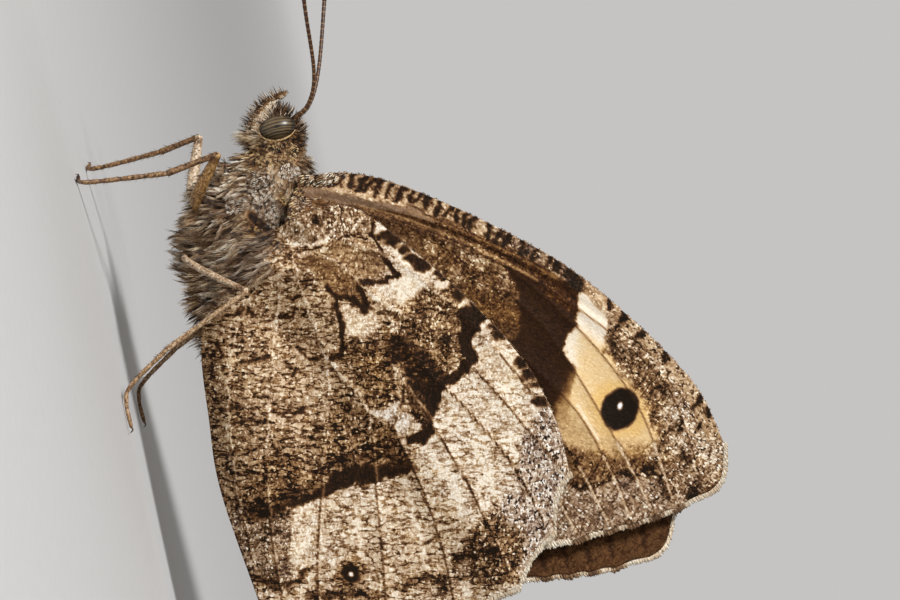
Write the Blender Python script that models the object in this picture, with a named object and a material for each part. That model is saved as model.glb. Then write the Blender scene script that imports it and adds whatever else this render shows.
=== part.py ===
"""An eastern rock grayling at rest with closed wings, life size, one solid for each part of its body.

Sizes and places are in millimetres: x runs towards the head, y to the animal's left and z up from the
floor. A side of 1 is the left and -1 the right. The meshes are made in metres, moved so that the whole
animal is centred over the origin.
"""

import math
import random

import bmesh
import bpy
import numpy as np
from mathutils import Vector
from mathutils.geometry import delaunay_2d_cdt

MM = 0.001
DOME = 0.4  # height of a limb's rounded end, in radii
TRUNK_DOME = 0.35  # height of a trunk form's rounded end, in half widths of its last station
GAP = 0.3  # clear space between two parts that touch on the animal
CENTRE_X = 9.3  # moves the middle of the animal's length to the origin
SIDES = {"left": 1, "right": -1}
SURFACE_STEP = 0.02  # short enough to read a surface's direction
TINY_EDGE = 2e-7  # in metres: edges this short are left over from a cut
SHARP_ANGLE = 50  # degrees between two faces that still look like one smooth form

# Trunk. A station is a share of the axis from front to rear, the reach to the back, the reach to the
# belly, and half the width, all to the tips of the coat.
HEAD_AXIS = ((1.9, 12.6), (-1.3, 12.1))
HEAD_STATIONS = (
    (0.00, 0.7, 0.7, 0.6),
    (0.12, 1.3, 1.2, 1.05),
    (0.38, 1.9, 1.7, 1.4),
    (0.65, 2.1, 1.9, 1.5),
    (0.88, 1.9, 1.8, 1.35),
    (1.00, 1.5, 1.4, 1.1),
)
THORAX_AXIS = ((-0.5, 12.25), (-9.4, 7.25))
THORAX_STATIONS = (
    (0.00, 2.2, 1.3, 1.2),
    (0.05, 2.7, 2.0, 1.7),
    (0.16, 3.0, 2.8, 2.2),
    (0.35, 3.2, 3.9, 2.6),
    (0.55, 3.2, 4.2, 2.7),
    (0.75, 2.8, 4.0, 2.45),
    (0.90, 2.2, 3.1, 1.95),
    (1.00, 1.5, 2.0, 1.3),
)
ABDOMEN_AXIS = ((-8.2, 7.8), (-21.6, 6.9))
ABDOMEN_STATIONS = (
    (0.00, 1.6, 1.7, 1.5),
    (0.12, 1.8, 2.1, 1.75),
    (0.35, 1.75, 2.0, 1.75),
    (0.60, 1.55, 1.7, 1.55),
    (0.82, 1.2, 1.3, 1.2),
    (0.95, 0.75, 0.8, 0.75),
    (1.00, 0.45, 0.5, 0.45),
)

STATION_STEP = 0.08  # the stations are smoothed into a curve with points this far apart

# Long hair on the thorax: locks on a core. A station of a lock is its run, its lift in depths of the coat,
# and half its width and thickness; the last is its tip.
COAT_DEPTHS = (0.85, 0.5)  # at the belly and at the flanks
LOCK_PROFILE = (
    (0.0, 0.0, 0.46, 0.16),
    (0.6, 0.5, 0.58, 0.17),
    (1.5, 0.78, 0.44, 0.13),
    (2.6, 0.95, 0.0, 0.0),
)
LOCK_SINK = 0.35
LOCK_DROOP = 0.14  # how far a lock's tip swings to the belly, in radians for each millimetre of its run
LOCK_SHARES = (0.06, 0.8)  # of the thorax's axis, where the first and last rows root
LOCK_LAST_SHARE = 0.98
LOCK_ROWS = 7
LOCK_SPACING = 1.25
LOCK_ROW_OFFSETS = (0.3, 0.7)  # every second row is set between the locks of the one before
LOCK_FRONT, LOCK_TURN_FRONT, LOCK_TURN_REAR = 0.2, 125, 102  # locks reach further up the collar
LOCK_SIZES = (0.85, 1.12)
LOCK_SHIFT, LOCK_SWAY = 0.02, 0.05
LOCK_SEED = 11

# Head parts
EYE_CENTRE = (0.63, 0.95, 12.6)
EYE_HALF = (0.8, 0.8, 1.15)  # half its size along x, y and z
EYE_FLAT = 0.25  # the eye ends in a flat this far inside its centre
EYE_WRAP = 0.6  # share of a half turn that its rings go round, from the outermost point inwards
PALP_PATH = ((0.2, 0.55, 10.7), (1.25, 0.6, 11.2), (2.15, 0.55, 12.2), (2.62, 0.5, 13.55))
PALP_RADII = (0.42, 0.5, 0.46, 0.22)
PALP_SQUEEZE = 0.72
ANTENNA_PATHS = {
    "left": ((0.95, 0.4, 13.7), (1.7, 0.7, 14.8), (3.6, 1.4, 15.55), (8.1, 2.9, 15.9), (13.9, 4.6, 16.7)),
    "right": ((0.95, 0.4, 13.7), (1.7, 0.7, 14.8), (3.6, 1.4, 15.75), (7.5, 2.7, 16.9), (13.2, 4.4, 18.4)),
}
ANTENNA_RADII = (0.27, 0.25, 0.25, 0.25, 0.25, 0.25, 0.26, 0.42, 0.44, 0.22)

# Legs: hip to knee, knee to the spurs, and the foot with its last joints flat on the floor
LEG_PATHS = {
    ("midleg", "left"): (
        ((-3.3, 1.1, 6.7), (-2.5, 1.9, 6.9), (-0.32, 3.3, 8.71)),
        ((-0.32, 3.3, 8.71), (-0.85, 3.9, 5.48)),
        ((-0.85, 3.9, 5.48), (-0.5, 4.5, 1.5), (-0.3, 4.95, 0.24), (0.0, 6.2, 0.24)),
    ),
    ("midleg", "right"): (
        ((-3.1, 1.1, 6.7), (-2.0, 1.9, 6.5), (1.26, 3.3, 7.52)),
        ((1.26, 3.3, 7.52), (0.86, 3.9, 4.95)),
        ((0.86, 3.9, 4.95), (0.72, 4.5, 1.5), (0.8, 4.95, 0.24), (1.1, 6.2, 0.24)),
    ),
    ("hindleg", "left"): (
        ((-6.2, 1.2, 6.0), (-6.6, 2.4, 5.7), (-7.5, 3.8, 6.7), (-8.93, 4.55, 8.79)),
        ((-8.93, 4.55, 8.79), (-11.4, 5.3, 3.3)),
        ((-11.4, 5.3, 3.3), (-13.1, 5.8, 0.75), (-14.1, 6.0, 0.24), (-15.6, 6.2, 0.24)),
    ),
}
LEG_PATHS["hindleg", "right"] = LEG_PATHS["hindleg", "left"]
LEG_SEGMENTS = ("femur", "tibia", "tarsus")
LEG_RADII = ((0.45, 0.42, 0.36), (0.3, 0.27, 0.26), (0.26, 0.25, 0.24, 0.2))
FORELEG_PATH = ((-2.4, 0.9, 8.9), (-1.4, 1.3, 8.5), (-0.4, 1.45, 8.9), (0.45, 1.2, 9.9))
FORELEG_RADII = (0.45, 0.42, 0.38, 0.22)

# Wings, in millimetres from the hinge: p runs towards the tip, q towards the trailing edge
WING_THICKNESS = 0.5
FORE_HINGE = (-3.63, 13.47)
FORE_TILT = {"left": 45.5, "right": 35.5}  # degrees of p above the level, tailwards
FORE_COSTA = ((-0.7, -0.6), (1.6, -2.4), (4.7, -3.5), (10.1, -4.4), (16.0, -4.8), (22.0, -4.1),
              (27.0, -2.8), (30.3, -0.8))
FORE_OUTER = ((30.3, -0.8), (31.3, 1.3), (30.5, 3.4), (29.0, 5.5), (27.2, 7.6), (25.3, 9.7), (23.0, 11.9))
FORE_INNER = ((23.0, 11.9), (17.0, 9.7), (10.0, 6.8), (4.0, 4.1), (0.4, 2.2), (-0.7, -0.6))
FORE_TEETH = ((30.9, 2.2), (29.9, 4.1), (29.1, 5.4), (28.2, 6.5), (27.2, 7.6), (25.9, 9.1), (23.0, 11.9))
FORE_SCALLOP = 0.15
HIND_HINGE = (-6.72, 11.86)
HIND_TILT = {"left": 22.0, "right": 22.0}
HIND_COSTA = ((-1.2, -1.0), (-0.6, -3.6), (1.1, -5.0), (5.0, -6.3), (10.0, -7.5), (14.5, -8.0),
              (18.5, -7.5), (21.3, -6.5))
HIND_OUTER = ((21.3, -6.5), (23.8, -3.6), (25.4, 0.2), (25.3, 4.6), (23.8, 8.8), (21.5, 12.4), (17.6, 14.1))
HIND_INNER = ((17.6, 14.1), (10.2, 12.1), (6.1, 10.2), (2.0, 8.0), (-0.4, 5.4), (-1.4, 2.4), (-1.2, -1.0))
HIND_TEETH = ((21.3, -6.5), (23.8, -3.6), (25.4, 0.2), (25.3, 4.6), (23.8, 8.8), (21.5, 12.4), (19.5, 13.7),
              (17.6, 14.1))
HIND_SCALLOP = 0.5

# Veins: the height and half width of the ridge at its root, and its course
FORE_VEINS = {
    "subcosta": (0.24, 0.5, ((0.3, -0.2), (2.4, -1.3), (5.9, -2.3), (10.8, -3.3), (16.3, -3.9),
                             (20.0, -3.8))),
    "radius": (0.16, 0.34, ((0.9, 0.3), (5.9, -1.4), (12.9, -2.75), (16.8, -3.0), (21.4, -2.7),
                            (25.1, -2.0), (28.0, -0.1), (30.4, 2.0))),
    "radial_branch": (0.12, 0.26, ((23.1, -2.3), (27.3, -1.5), (30.3, 0.0))),
    "media_1": (0.12, 0.26, ((12.9, -2.75), (16.0, -2.5), (20.8, -1.4), (25.0, 0.4), (29.4, 3.8))),
    "media_2": (0.12, 0.26, ((13.7, -1.5), (17.0, -0.9), (21.5, 1.1), (25.5, 3.2), (28.6, 5.0))),
    "media_3": (0.12, 0.26, ((13.9, 0.9), (17.5, 1.5), (21.6, 2.5), (25.2, 4.4), (27.8, 6.2))),
    "cubitus": (0.18, 0.36, ((0.9, 0.9), (3.9, 1.0), (8.2, 1.9), (12.9, 1.8), (17.1, 2.8), (22.9, 5.0),
                             (26.8, 7.2))),
    "cubitus_2": (0.12, 0.26, ((8.8, 1.9), (13.0, 3.7), (18.0, 5.4), (22.5, 7.2), (25.5, 8.8))),
    "cell_end": (0.1, 0.24, ((12.9, -2.75), (13.7, -1.5), (13.6, -0.2), (13.9, 0.9), (12.9, 1.8))),
    "anal": (0.14, 0.32, ((0.9, 1.5), (5.5, 3.9), (11.5, 6.5), (17.5, 8.7), (22.6, 11.3))),
}
HIND_VEINS = {
    "humeral": (0.16, 0.32, ((0.6, -0.2), (1.2, -1.7), (1.6, -3.0), (0.8, -4.4))),
    "subcosta": (0.14, 0.3, ((1.6, -3.0), (4.6, -5.0), (8.0, -6.1), (12.0, -6.9), (16.0, -7.3))),
    "radius": (0.14, 0.3, ((0.6, 0.0), (2.2, -1.7), (6.4, -2.9), (10.0, -4.5), (13.5, -5.3), (17.5, -5.8),
                           (20.8, -6.2))),
    "media_1": (0.12, 0.26, ((5.6, -2.6), (10.6, -2.6), (14.5, -3.4), (19.0, -3.8), (23.3, -3.4))),
    "media_2": (0.12, 0.26, ((7.6, -2.5), (9.4, -1.2), (13.9, -1.1), (19.0, -0.8), (24.9, 0.2))),
    "media_3": (0.12, 0.26, ((12.8, 1.0), (17.6, 1.8), (21.4, 2.9), (24.9, 4.4))),
    "cubitus": (0.16, 0.32, ((0.6, 0.2), (2.9, 1.0), (7.0, 1.9), (11.0, 1.8), (15.0, 3.8), (19.4, 6.2),
                             (23.5, 8.6))),
    "cell_end": (0.1, 0.24, ((9.4, -1.2), (11.2, -0.6), (12.8, 1.0), (11.0, 1.8))),
    "cubitus_2": (0.12, 0.26, ((7.0, 1.9), (10.0, 4.0), (13.9, 7.1), (17.5, 9.8), (21.2, 12.1))),
    "anal_2": (0.12, 0.26, ((0.5, 0.7), (3.8, 3.6), (8.6, 7.4), (13.8, 10.8), (19.2, 13.3))),
    "anal_3": (0.12, 0.26, ((0.3, 1.0), (2.1, 5.1), (5.9, 8.6), (10.2, 10.9), (15.5, 13.2))),
}
VEIN_STEP = 1.9
VEIN_TAPER = 0.35  # share of a vein's height and width that is gone at its end
INNER_FACE_SHARE = 0.5  # a vein stands this much as high on the face towards the other wings
RIDGE_ROOM = 0.07  # kept free for a vein's ridge on an inner face

# How densely the plan of a wing is filled with points
MARGIN_STEP = 0.42
EDGE_STEP = 1.5
FILL_STEP, FILL_CLEAR = 2.6, 1.1
ROOT_FILL_STEP, ROOT_FILL_CLEAR = 1.3, 0.6  # finer where the wings bend round the trunk
ROOT_FILL_REACH = 8.5
ROOT_RINGS, ROOT_SPOKES, ROOT_CLEAR_SPAN = (0.3, 0.65, 1.0), 8, 0.3
SAME_PLACE = 0.02
SCALLOP_FULL_SPAN = 2.0  # teeth closer than this have a shallower bay between them

# How the closed wings lie over one another and over the trunk
FORE_LEVEL = GAP / 2 + RIDGE_ROOM + WING_THICKNESS / 2
HIND_RISE = WING_THICKNESS + 3 * RIDGE_ROOM + GAP  # the forewing's outer ridges are twice as high
SLOPE_STEP = 0.05
TRUNK_CLEARANCE = 0.66
SWELL_START, SWELL_FULL = 1.9, 0.35  # in radii of the part of the trunk that the wings pass
TRUNK_SWELLS = (  # middle, direction of the axis, half length, half depth, half width
    ((-4.9, 9.3), (-0.872, -0.490), 5.6, 3.9, 2.7),
    ((-14.5, 7.3), (-0.998, -0.067), 7.6, 2.0, 1.75),
)
OVERLAP_FADE = (-4.4, -0.8)
ROOT_CLEAR = (-0.7, -1.15)  # the hindwing's root thins to nothing before it meets the forewing
ROOT_REACH = {"forewing": 1.5, "hindwing": 1.05}
ROOT_CORE = 0.3  # share of its reach over which the root keeps its full depth
ROOT_DEPTH = 1.7

COLOURS = {  # base colour and roughness
    "eye": ((0.20, 0.13, 0.07), 0.25),
    "coat": ((0.34, 0.28, 0.21), 0.9),
    "horn": ((0.23, 0.11, 0.05), 0.5),
    "leg": ((0.40, 0.27, 0.15), 0.6),
    "wing": ((0.42, 0.33, 0.22), 0.8),
}


def clear_scene():
    for old in list(bpy.data.objects):
        bpy.data.objects.remove(old, do_unlink=True)


def material(name, finish):
    colour, roughness = COLOURS[finish]
    made = bpy.data.materials.new(name)
    made.use_nodes = True
    shader = made.node_tree.nodes["Principled BSDF"]
    shader.inputs["Base Color"].default_value = (*colour, 1.0)
    shader.inputs["Roughness"].default_value = roughness
    shader.inputs["Metallic"].default_value = 0.0
    return made


def solid(name, points, faces):
    """A closed mesh object from points in millimetres, with its faces pointing out."""
    mesh = bpy.data.meshes.new(name)
    mesh.from_pydata([((x + CENTRE_X) * MM, y * MM, z * MM) for x, y, z in points], [], faces)
    work = bmesh.new()
    work.from_mesh(mesh)
    bmesh.ops.recalc_face_normals(work, faces=work.faces)
    work.to_mesh(mesh)
    work.free()
    made = bpy.data.objects.new(name, mesh)
    bpy.context.scene.collection.objects.link(made)
    return made


def spline(points, spacing):
    """Points about one spacing apart on a smooth curve through the given ones, ends included."""
    points = np.array(points, float)
    before = 2 * points[0] - points[1]
    after = 2 * points[-1] - points[-2]
    knots = np.vstack((before, points, after))
    curve = []
    for p0, p1, p2, p3 in zip(knots, knots[1:], knots[2:], knots[3:]):
        steps = max(1, round(float(np.linalg.norm(p2 - p1)) / spacing))
        for t in np.arange(steps) / steps:
            cubic = -p0 + 3 * p1 - 3 * p2 + p3
            square = 2 * p0 - 5 * p1 + 4 * p2 - p3
            curve.append(p1 + 0.5 * t * (p2 - p0 + t * (square + t * cubic)))
    curve.append(points[-1])
    return np.array(curve)


def ring_faces(rings, sides):
    """Quads between rings of points that follow one another, with a fan to a point at each end."""
    faces = []
    for ring in range(rings - 1):
        for k in range(sides):
            a = ring * sides + k
            b = ring * sides + (k + 1) % sides
            faces.append((a, b, b + sides, a + sides))
    first_pole = rings * sides
    last = (rings - 1) * sides
    for k in range(sides):
        faces.append((first_pole, (k + 1) % sides, k))
        faces.append((first_pole + 1, last + k, last + (k + 1) % sides))
    return faces


def trunk_surface(axis, stations, grow=0.0):
    """The place on a trunk form at a share of its axis and a turn about it, 0 at the belly."""
    front, rear = (np.array(end, float) for end in axis)
    length = float(np.linalg.norm(rear - front))
    along = (rear - front) / length
    down = np.array((along[1], -along[0]))
    down = down if down[1] < 0 else -down
    dense = spline(stations, STATION_STEP)

    def place(share, turn):
        back, belly, half = (np.interp(share, dense[:, 0], dense[:, k]) + grow for k in (1, 2, 3))
        reach = math.cos(turn) * (belly if math.cos(turn) > 0 else back)
        x, z = front + along * (share * (length + 2 * grow) - grow) + down * reach
        return np.array((x, half * math.sin(turn), z))

    return place


def trunk_form(name, axis, stations, grow=0.0, sides=24, rings=15):
    """A rounded form along a straight axis in the middle plane, its reaches read from the stations."""
    place = trunk_surface(axis, stations, grow)
    points = [place(share, 2 * math.pi * k / sides) for share in np.linspace(0.0, 1.0, rings)
              for k in range(sides)]
    front, rear = (np.array(end, float) for end in axis)
    along = (rear - front) / np.linalg.norm(rear - front)
    for end, sign, station in ((front, -1, stations[0]), (rear, 1, stations[-1])):
        x, z = end + along * sign * (TRUNK_DOME * station[3] + grow)
        points.append((x, 0.0, z))
    return solid(name, points, ring_faces(rings, sides))


def coat_depth(turn):
    """How far the core of the thorax lies inside the tips of its coat."""
    belly, flank = COAT_DEPTHS
    return belly * max(math.cos(turn), 0.0) ** 2 + flank * math.sin(turn) ** 2


def unit(vector):
    return vector / np.linalg.norm(vector)


def lock_form(place, share, turn, size, sway):
    """A flat lock of hair, its root sunk in the core, that follows the body back and a little down."""
    length = math.dist(*THORAX_AXIS)
    points = []
    for run, lift, half_width, half_thickness in LOCK_PROFILE:
        reach = run * size
        here = min(share + reach / length, LOCK_LAST_SHARE)
        there = turn + reach * (sway - LOCK_DROOP * math.sin(turn))
        on_core = place(here, there)
        back = unit(place(here + SURFACE_STEP, there) - on_core)
        normal = unit(np.cross(back, place(here, there + SURFACE_STEP) - on_core))
        across = np.cross(normal, back)
        middle = on_core + normal * lift * coat_depth(there)
        if not half_width:
            points.append(middle)
            break
        if run == 0:
            middle = middle - normal * LOCK_SINK
        for edge, face in ((1, 0), (0, 1), (-1, 0), (0, -1)):
            points.append(middle + across * half_width * edge + normal * half_thickness * face)
    rings = len(LOCK_PROFILE) - 1
    faces = [(0, 1, 2, 3)]
    for ring in range(rings - 1):
        for k in range(4):
            a, b = 4 * ring + k, 4 * ring + (k + 1) % 4
            faces.append((a, b, b + 4, a + 4))
    tip = 4 * rings
    faces += [(tip - 4 + k, tip - 4 + (k + 1) % 4, tip) for k in range(4)]
    return solid("lock", points, faces)


def thorax_locks(core_stations):
    """Rows of locks over the belly, the flanks and the collar of the thorax."""
    place = trunk_surface(THORAX_AXIS, core_stations)
    draw = random.Random(LOCK_SEED)
    locks = []
    for row, share in enumerate(np.linspace(*LOCK_SHARES, LOCK_ROWS)):
        most = LOCK_TURN_FRONT if share < LOCK_FRONT else LOCK_TURN_REAR
        girth = np.linalg.norm(place(share, 0.0)[[0, 2]] - place(share, math.pi)[[0, 2]])
        count = max(3, round(2 * math.radians(most) * girth / 2 / LOCK_SPACING))
        for k in range(count):
            step = (k + LOCK_ROW_OFFSETS[row % 2]) / count
            turn = math.radians(most) * (2 * step - 1)
            root = share + draw.uniform(-LOCK_SHIFT, LOCK_SHIFT)
            size = draw.uniform(*LOCK_SIZES)
            locks.append(lock_form(place, root, turn, size, draw.uniform(-LOCK_SWAY, LOCK_SWAY)))
    return locks


def tube(name, path, radii, side=1, grow=0.0, sides=10, squeeze=1.0, spacing=0.9):
    """A round limb along a smooth path, tapering through its radii, flat where it meets the floor."""
    centre = spline(path, spacing)
    ends = np.diff(centre, axis=0)
    centre[0] -= grow * ends[0] / np.linalg.norm(ends[0])
    centre[-1] += grow * ends[-1] / np.linalg.norm(ends[-1])
    run = np.concatenate(((0.0,), np.cumsum(np.linalg.norm(np.diff(centre, axis=0), axis=1))))
    radius = np.interp(run / run[-1], np.linspace(0.0, 1.0, len(radii)), radii) + grow
    tangent = np.gradient(centre, axis=0)
    tangent /= np.linalg.norm(tangent, axis=1)[:, None]
    normal = np.cross(tangent[0], (0.3, 1.0, 0.1))
    points = []
    for middle, direction, r in zip(centre, tangent, radius):
        normal = normal - direction * float(normal @ direction)
        normal /= np.linalg.norm(normal)
        across = np.cross(direction, normal)
        for k in range(sides):
            turn = 2 * math.pi * k / sides
            offset = r * (math.cos(turn) * normal + math.sin(turn) * across)
            offset[1] *= squeeze
            points.append(middle + offset)
    points.append(centre[0] - tangent[0] * DOME * radii[0])
    points.append(centre[-1] + tangent[-1] * DOME * radii[-1])
    floor = min(0.0, -grow)
    placed = [(x, side * y, max(z, floor)) for x, y, z in points]
    return solid(name, placed, ring_faces(len(centre), sides))


def eye_form(name, side, grow=0.0, sides=18, rings=9):
    """A dome that faces outwards, with a flat inner end."""
    half = np.array(EYE_HALF) + grow
    points = []
    for ring in range(1, rings + 1):
        lean = EYE_WRAP * math.pi * ring / rings
        outward = max(half[1] * math.cos(lean), -EYE_FLAT - grow)
        for k in range(sides):
            turn = 2 * math.pi * k / sides
            x = EYE_CENTRE[0] + half[0] * math.sin(lean) * math.cos(turn)
            z = EYE_CENTRE[2] + half[2] * math.sin(lean) * math.sin(turn)
            points.append((x, side * (EYE_CENTRE[1] + outward), z))
    points.append((EYE_CENTRE[0], side * (EYE_CENTRE[1] + half[1]), EYE_CENTRE[2]))
    points.append((EYE_CENTRE[0], side * (EYE_CENTRE[1] - EYE_FLAT - grow), EYE_CENTRE[2]))
    return solid(name, points, ring_faces(rings, sides))


def keep_largest(target):
    """Drops every closed surface of a mesh but the one that holds the most."""
    work = bmesh.new()
    work.from_mesh(target.data)
    bmesh.ops.triangulate(work, faces=work.faces)
    left = set(work.faces)
    islands = []
    while left:
        island, queue = [], [left.pop()]
        while queue:
            face = queue.pop()
            island.append(face)
            for edge in face.edges:
                for other in edge.link_faces:
                    if other in left:
                        left.remove(other)
                        queue.append(other)
        islands.append(island)

    def volume(island):
        corners = ([vert.co for vert in face.verts] for face in island)
        return abs(sum(a.dot(b.cross(c)) for a, b, c in corners))

    islands.sort(key=volume)
    spare = [face for island in islands[:-1] for face in island]
    bmesh.ops.delete(work, geom=spare, context="FACES")
    bmesh.ops.dissolve_degenerate(work, dist=TINY_EDGE, edges=work.edges)
    bmesh.ops.triangulate(work, faces=work.faces)
    work.to_mesh(target.data)
    work.free()


def cut(target, cutters):
    """Takes the cutters out of the target, one after another, and removes them."""
    for cutter in cutters:
        step = target.modifiers.new("cut", "BOOLEAN")
        step.operation = "DIFFERENCE"
        step.solver = "EXACT"
        step.object = cutter
    bpy.context.view_layer.update()
    graph = bpy.context.evaluated_depsgraph_get()
    mesh = bpy.data.meshes.new_from_object(target.evaluated_get(graph))
    target.modifiers.clear()
    target.data = mesh
    for cutter in cutters:
        bpy.data.objects.remove(cutter, do_unlink=True)
    keep_largest(target)


def fuse(target, pieces):
    """Joins closed pieces to the target, so that the whole is one closed surface, and removes them."""
    group = bpy.data.collections.new("pieces")
    for piece in pieces:
        group.objects.link(piece)
    step = target.modifiers.new("fuse", "BOOLEAN")
    step.operation = "UNION"
    step.solver = "EXACT"
    step.operand_type = "COLLECTION"
    step.collection = group
    bpy.context.view_layer.update()
    graph = bpy.context.evaluated_depsgraph_get()
    mesh = bpy.data.meshes.new_from_object(target.evaluated_get(graph))
    target.modifiers.clear()
    target.data = mesh
    for piece in pieces:
        bpy.data.objects.remove(piece, do_unlink=True)
    bpy.data.collections.remove(group)
    keep_largest(target)


def smoothstep(low, high, value):
    share = np.clip((value - low) / (high - low), 0.0, 1.0)
    return share * share * (3 - 2 * share)


def to_frame(p, q, hinge, tilt):
    """Wing millimetres to x and z."""
    turn = math.radians(tilt)
    x = hinge[0] - p * math.cos(turn) - q * math.sin(turn)
    z = hinge[1] + p * math.sin(turn) - q * math.cos(turn)
    return x, z


def past_fore_margin(x, z, side_name):
    """How far a place lies inside the forewing's trailing edge, negative beyond it."""
    turn = math.radians(FORE_TILT[side_name])
    dx, dz = x - FORE_HINGE[0], z - FORE_HINGE[1]
    p = -dx * math.cos(turn) + dz * math.sin(turn)
    q = -dx * math.sin(turn) - dz * math.cos(turn)
    (p0, q0), (p1, q1) = FORE_INNER[-2], FORE_INNER[0]
    length = math.hypot(p1 - p0, q1 - q0)
    return ((p - p0) * (q1 - q0) - (q - q0) * (p1 - p0)) / length


def sheet_level(x, z):
    """Distance of a forewing's middle from the middle plane: low over the back, wide at the trunk."""
    swell = 0.0
    for middle, along, half_length, half_depth, half_width in TRUNK_SWELLS:
        dx, dz = x - middle[0], z - middle[1]
        lengthwise = (dx * along[0] + dz * along[1]) / half_length
        crosswise = (dx * along[1] - dz * along[0]) / half_depth
        radii = np.sqrt(lengthwise**2 + crosswise**2)
        rise = half_width + TRUNK_CLEARANCE - FORE_LEVEL
        swell = swell + (rise * smoothstep(SWELL_START, SWELL_FULL, radii)) ** 4
    return FORE_LEVEL + swell**0.25


def steepness(x, z):
    """How much longer than its thickness a slanted sheet is along y."""
    step = SLOPE_STEP
    slope_x = (sheet_level(x + step, z) - sheet_level(x - step, z)) / (2 * step)
    slope_z = (sheet_level(x, z + step) - sheet_level(x, z - step)) / (2 * step)
    return np.sqrt(1 + slope_x**2 + slope_z**2)


def scalloped(outer, teeth, depth):
    """The outer margin, drawn in between the teeth where the veins end."""
    run = np.concatenate(((0.0,), np.cumsum(np.linalg.norm(np.diff(outer, axis=0), axis=1))))
    marks = sorted(run[np.argmin(np.linalg.norm(outer - np.array(tooth), axis=1))] for tooth in teeth)
    tangent = np.gradient(outer, axis=0)
    tangent /= np.linalg.norm(tangent, axis=1)[:, None]
    inward = np.stack((-tangent[:, 1], tangent[:, 0]), axis=1)
    drawn = outer.copy()
    for low, high in zip(marks, marks[1:]):
        between = (run > low) & (run < high)
        share = (run[between] - low) / (high - low)
        inset = depth * min(1.0, (high - low) / SCALLOP_FULL_SPAN) * np.sin(math.pi * share)
        drawn[between] += inward[between] * inset[:, None]
    return drawn


def vein_lines(veins):
    """Each vein's centre and its two flanks, tapering to its end, with the ridge's size at each point."""
    lines = []
    for height, half_width, course in veins.values():
        centre = spline(course, VEIN_STEP)
        fade = 1 - VEIN_TAPER * np.linspace(0.0, 1.0, len(centre))
        width = half_width * fade
        tangent = np.gradient(centre, axis=0)
        tangent /= np.linalg.norm(tangent, axis=1)[:, None]
        normal = np.stack((-tangent[:, 1], tangent[:, 0]), axis=1)
        lines.append((centre, normal * width[:, None], height * fade, width))
    return lines


def ridge_height(places, lines):
    """The height of the veins at each place, falling to nothing at their flanks."""
    height = np.zeros(len(places))
    for centre, _, tall, wide in lines:
        for k in range(len(centre) - 1):
            run = centre[k + 1] - centre[k]
            share = np.clip(((places - centre[k]) @ run) / (run @ run), 0.0, 1.0)
            distance = np.linalg.norm(places - (centre[k] + share[:, None] * run), axis=1)
            top = tall[k] + share * (tall[k + 1] - tall[k])
            width = wide[k] + share * (wide[k + 1] - wide[k])
            height = np.maximum(height, top * np.clip(1 - distance / width, 0.0, 1.0))
    return height


def clear_of(places, others, distance):
    """The places that keep at least a distance from every other point."""
    others = np.array(others)
    kept = [place for place in places if np.min(np.linalg.norm(others - place, axis=1)) > distance]
    return np.array(kept).reshape(-1, 2)


def wing_plan(costa, outer, inner, teeth, depth, veins, root_reach):
    """A wing's flat plan, split into triangles along its edge and its veins."""
    sections = (
        spline(costa, EDGE_STEP)[:-1],
        scalloped(spline(outer, MARGIN_STEP), teeth, depth)[:-1],
        spline(inner, EDGE_STEP)[:-1],
    )
    outline = np.vstack(sections)
    lines = vein_lines(veins)
    places = list(outline)
    edges = []
    for centre, flank, _, _ in lines:
        for row in (centre, (centre + flank)[:-1], (centre - flank)[:-1]):
            start = len(places)
            places.extend(row)
            edges.extend((start + k, start + k + 1) for k in range(len(row) - 1))
    root = [root_reach * share * np.array((math.cos(t), math.sin(t)))
            for share in ROOT_RINGS for t in np.arange(ROOT_SPOKES) * 2 * math.pi / ROOT_SPOKES]
    low, high = outline.min(axis=0), outline.max(axis=0)
    fine, coarse = (
        [np.array((p, q)) for p in np.arange(low[0], high[0], step)
         for q in np.arange(low[1], high[1], step)]
        for step in (ROOT_FILL_STEP, FILL_STEP)
    )
    fine = [place for place in fine if math.hypot(*place) < ROOT_FILL_REACH]
    for extra, distance in ((root, ROOT_CLEAR_SPAN), (fine, ROOT_FILL_CLEAR), (coarse, FILL_CLEAR)):
        places.extend(clear_of(extra, places, distance))
    rim = list(range(len(outline)))
    flat = delaunay_2d_cdt([Vector(place) for place in places], edges, [rim], 1, SAME_PLACE)
    return np.array([tuple(place) for place in flat[0]]), flat[2], lines


def wing_form(name, kind, side_name, hinge, tilt, plan):
    """Both faces of a wing from one plan, its root thickened inwards to the trunk."""
    side = SIDES[side_name]
    flat, triangles, lines = plan
    p, q = flat.T
    x, z = to_frame(p, q, hinge, tilt)
    level = sheet_level(x, z)
    stretch = steepness(x, z)
    ridge = ridge_height(flat, lines)
    reach = ROOT_REACH[kind]
    root = ROOT_DEPTH * (1 - smoothstep(ROOT_CORE * reach, reach, np.hypot(p, q)))
    if kind == "hindwing":
        overlap = past_fore_margin(x, z, side_name)
        level = level + HIND_RISE * stretch * smoothstep(*OVERLAP_FADE, overlap)
        root = root * smoothstep(*ROOT_CLEAR, overlap)
    outside = level + stretch * (WING_THICKNESS / 2 + ridge)
    inside = level - stretch * (WING_THICKNESS / 2 + ridge * INNER_FACE_SHARE) - root
    count = len(flat)
    points = list(zip(x, side * outside, z)) + list(zip(x, side * inside, z))
    faces = [tuple(face) for face in triangles]
    edges = {}
    for a, b, c in triangles:
        for edge in ((a, b), (b, c), (c, a)):
            edges[edge] = True
    rim = [(a, b) for a, b in edges if (b, a) not in edges]
    faces += [(c + count, b + count, a + count) for a, b, c in triangles]
    for a, b in rim:
        faces += [(b, a, a + count), (b, a + count, b + count)]
    return solid(name, points, faces)


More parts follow.
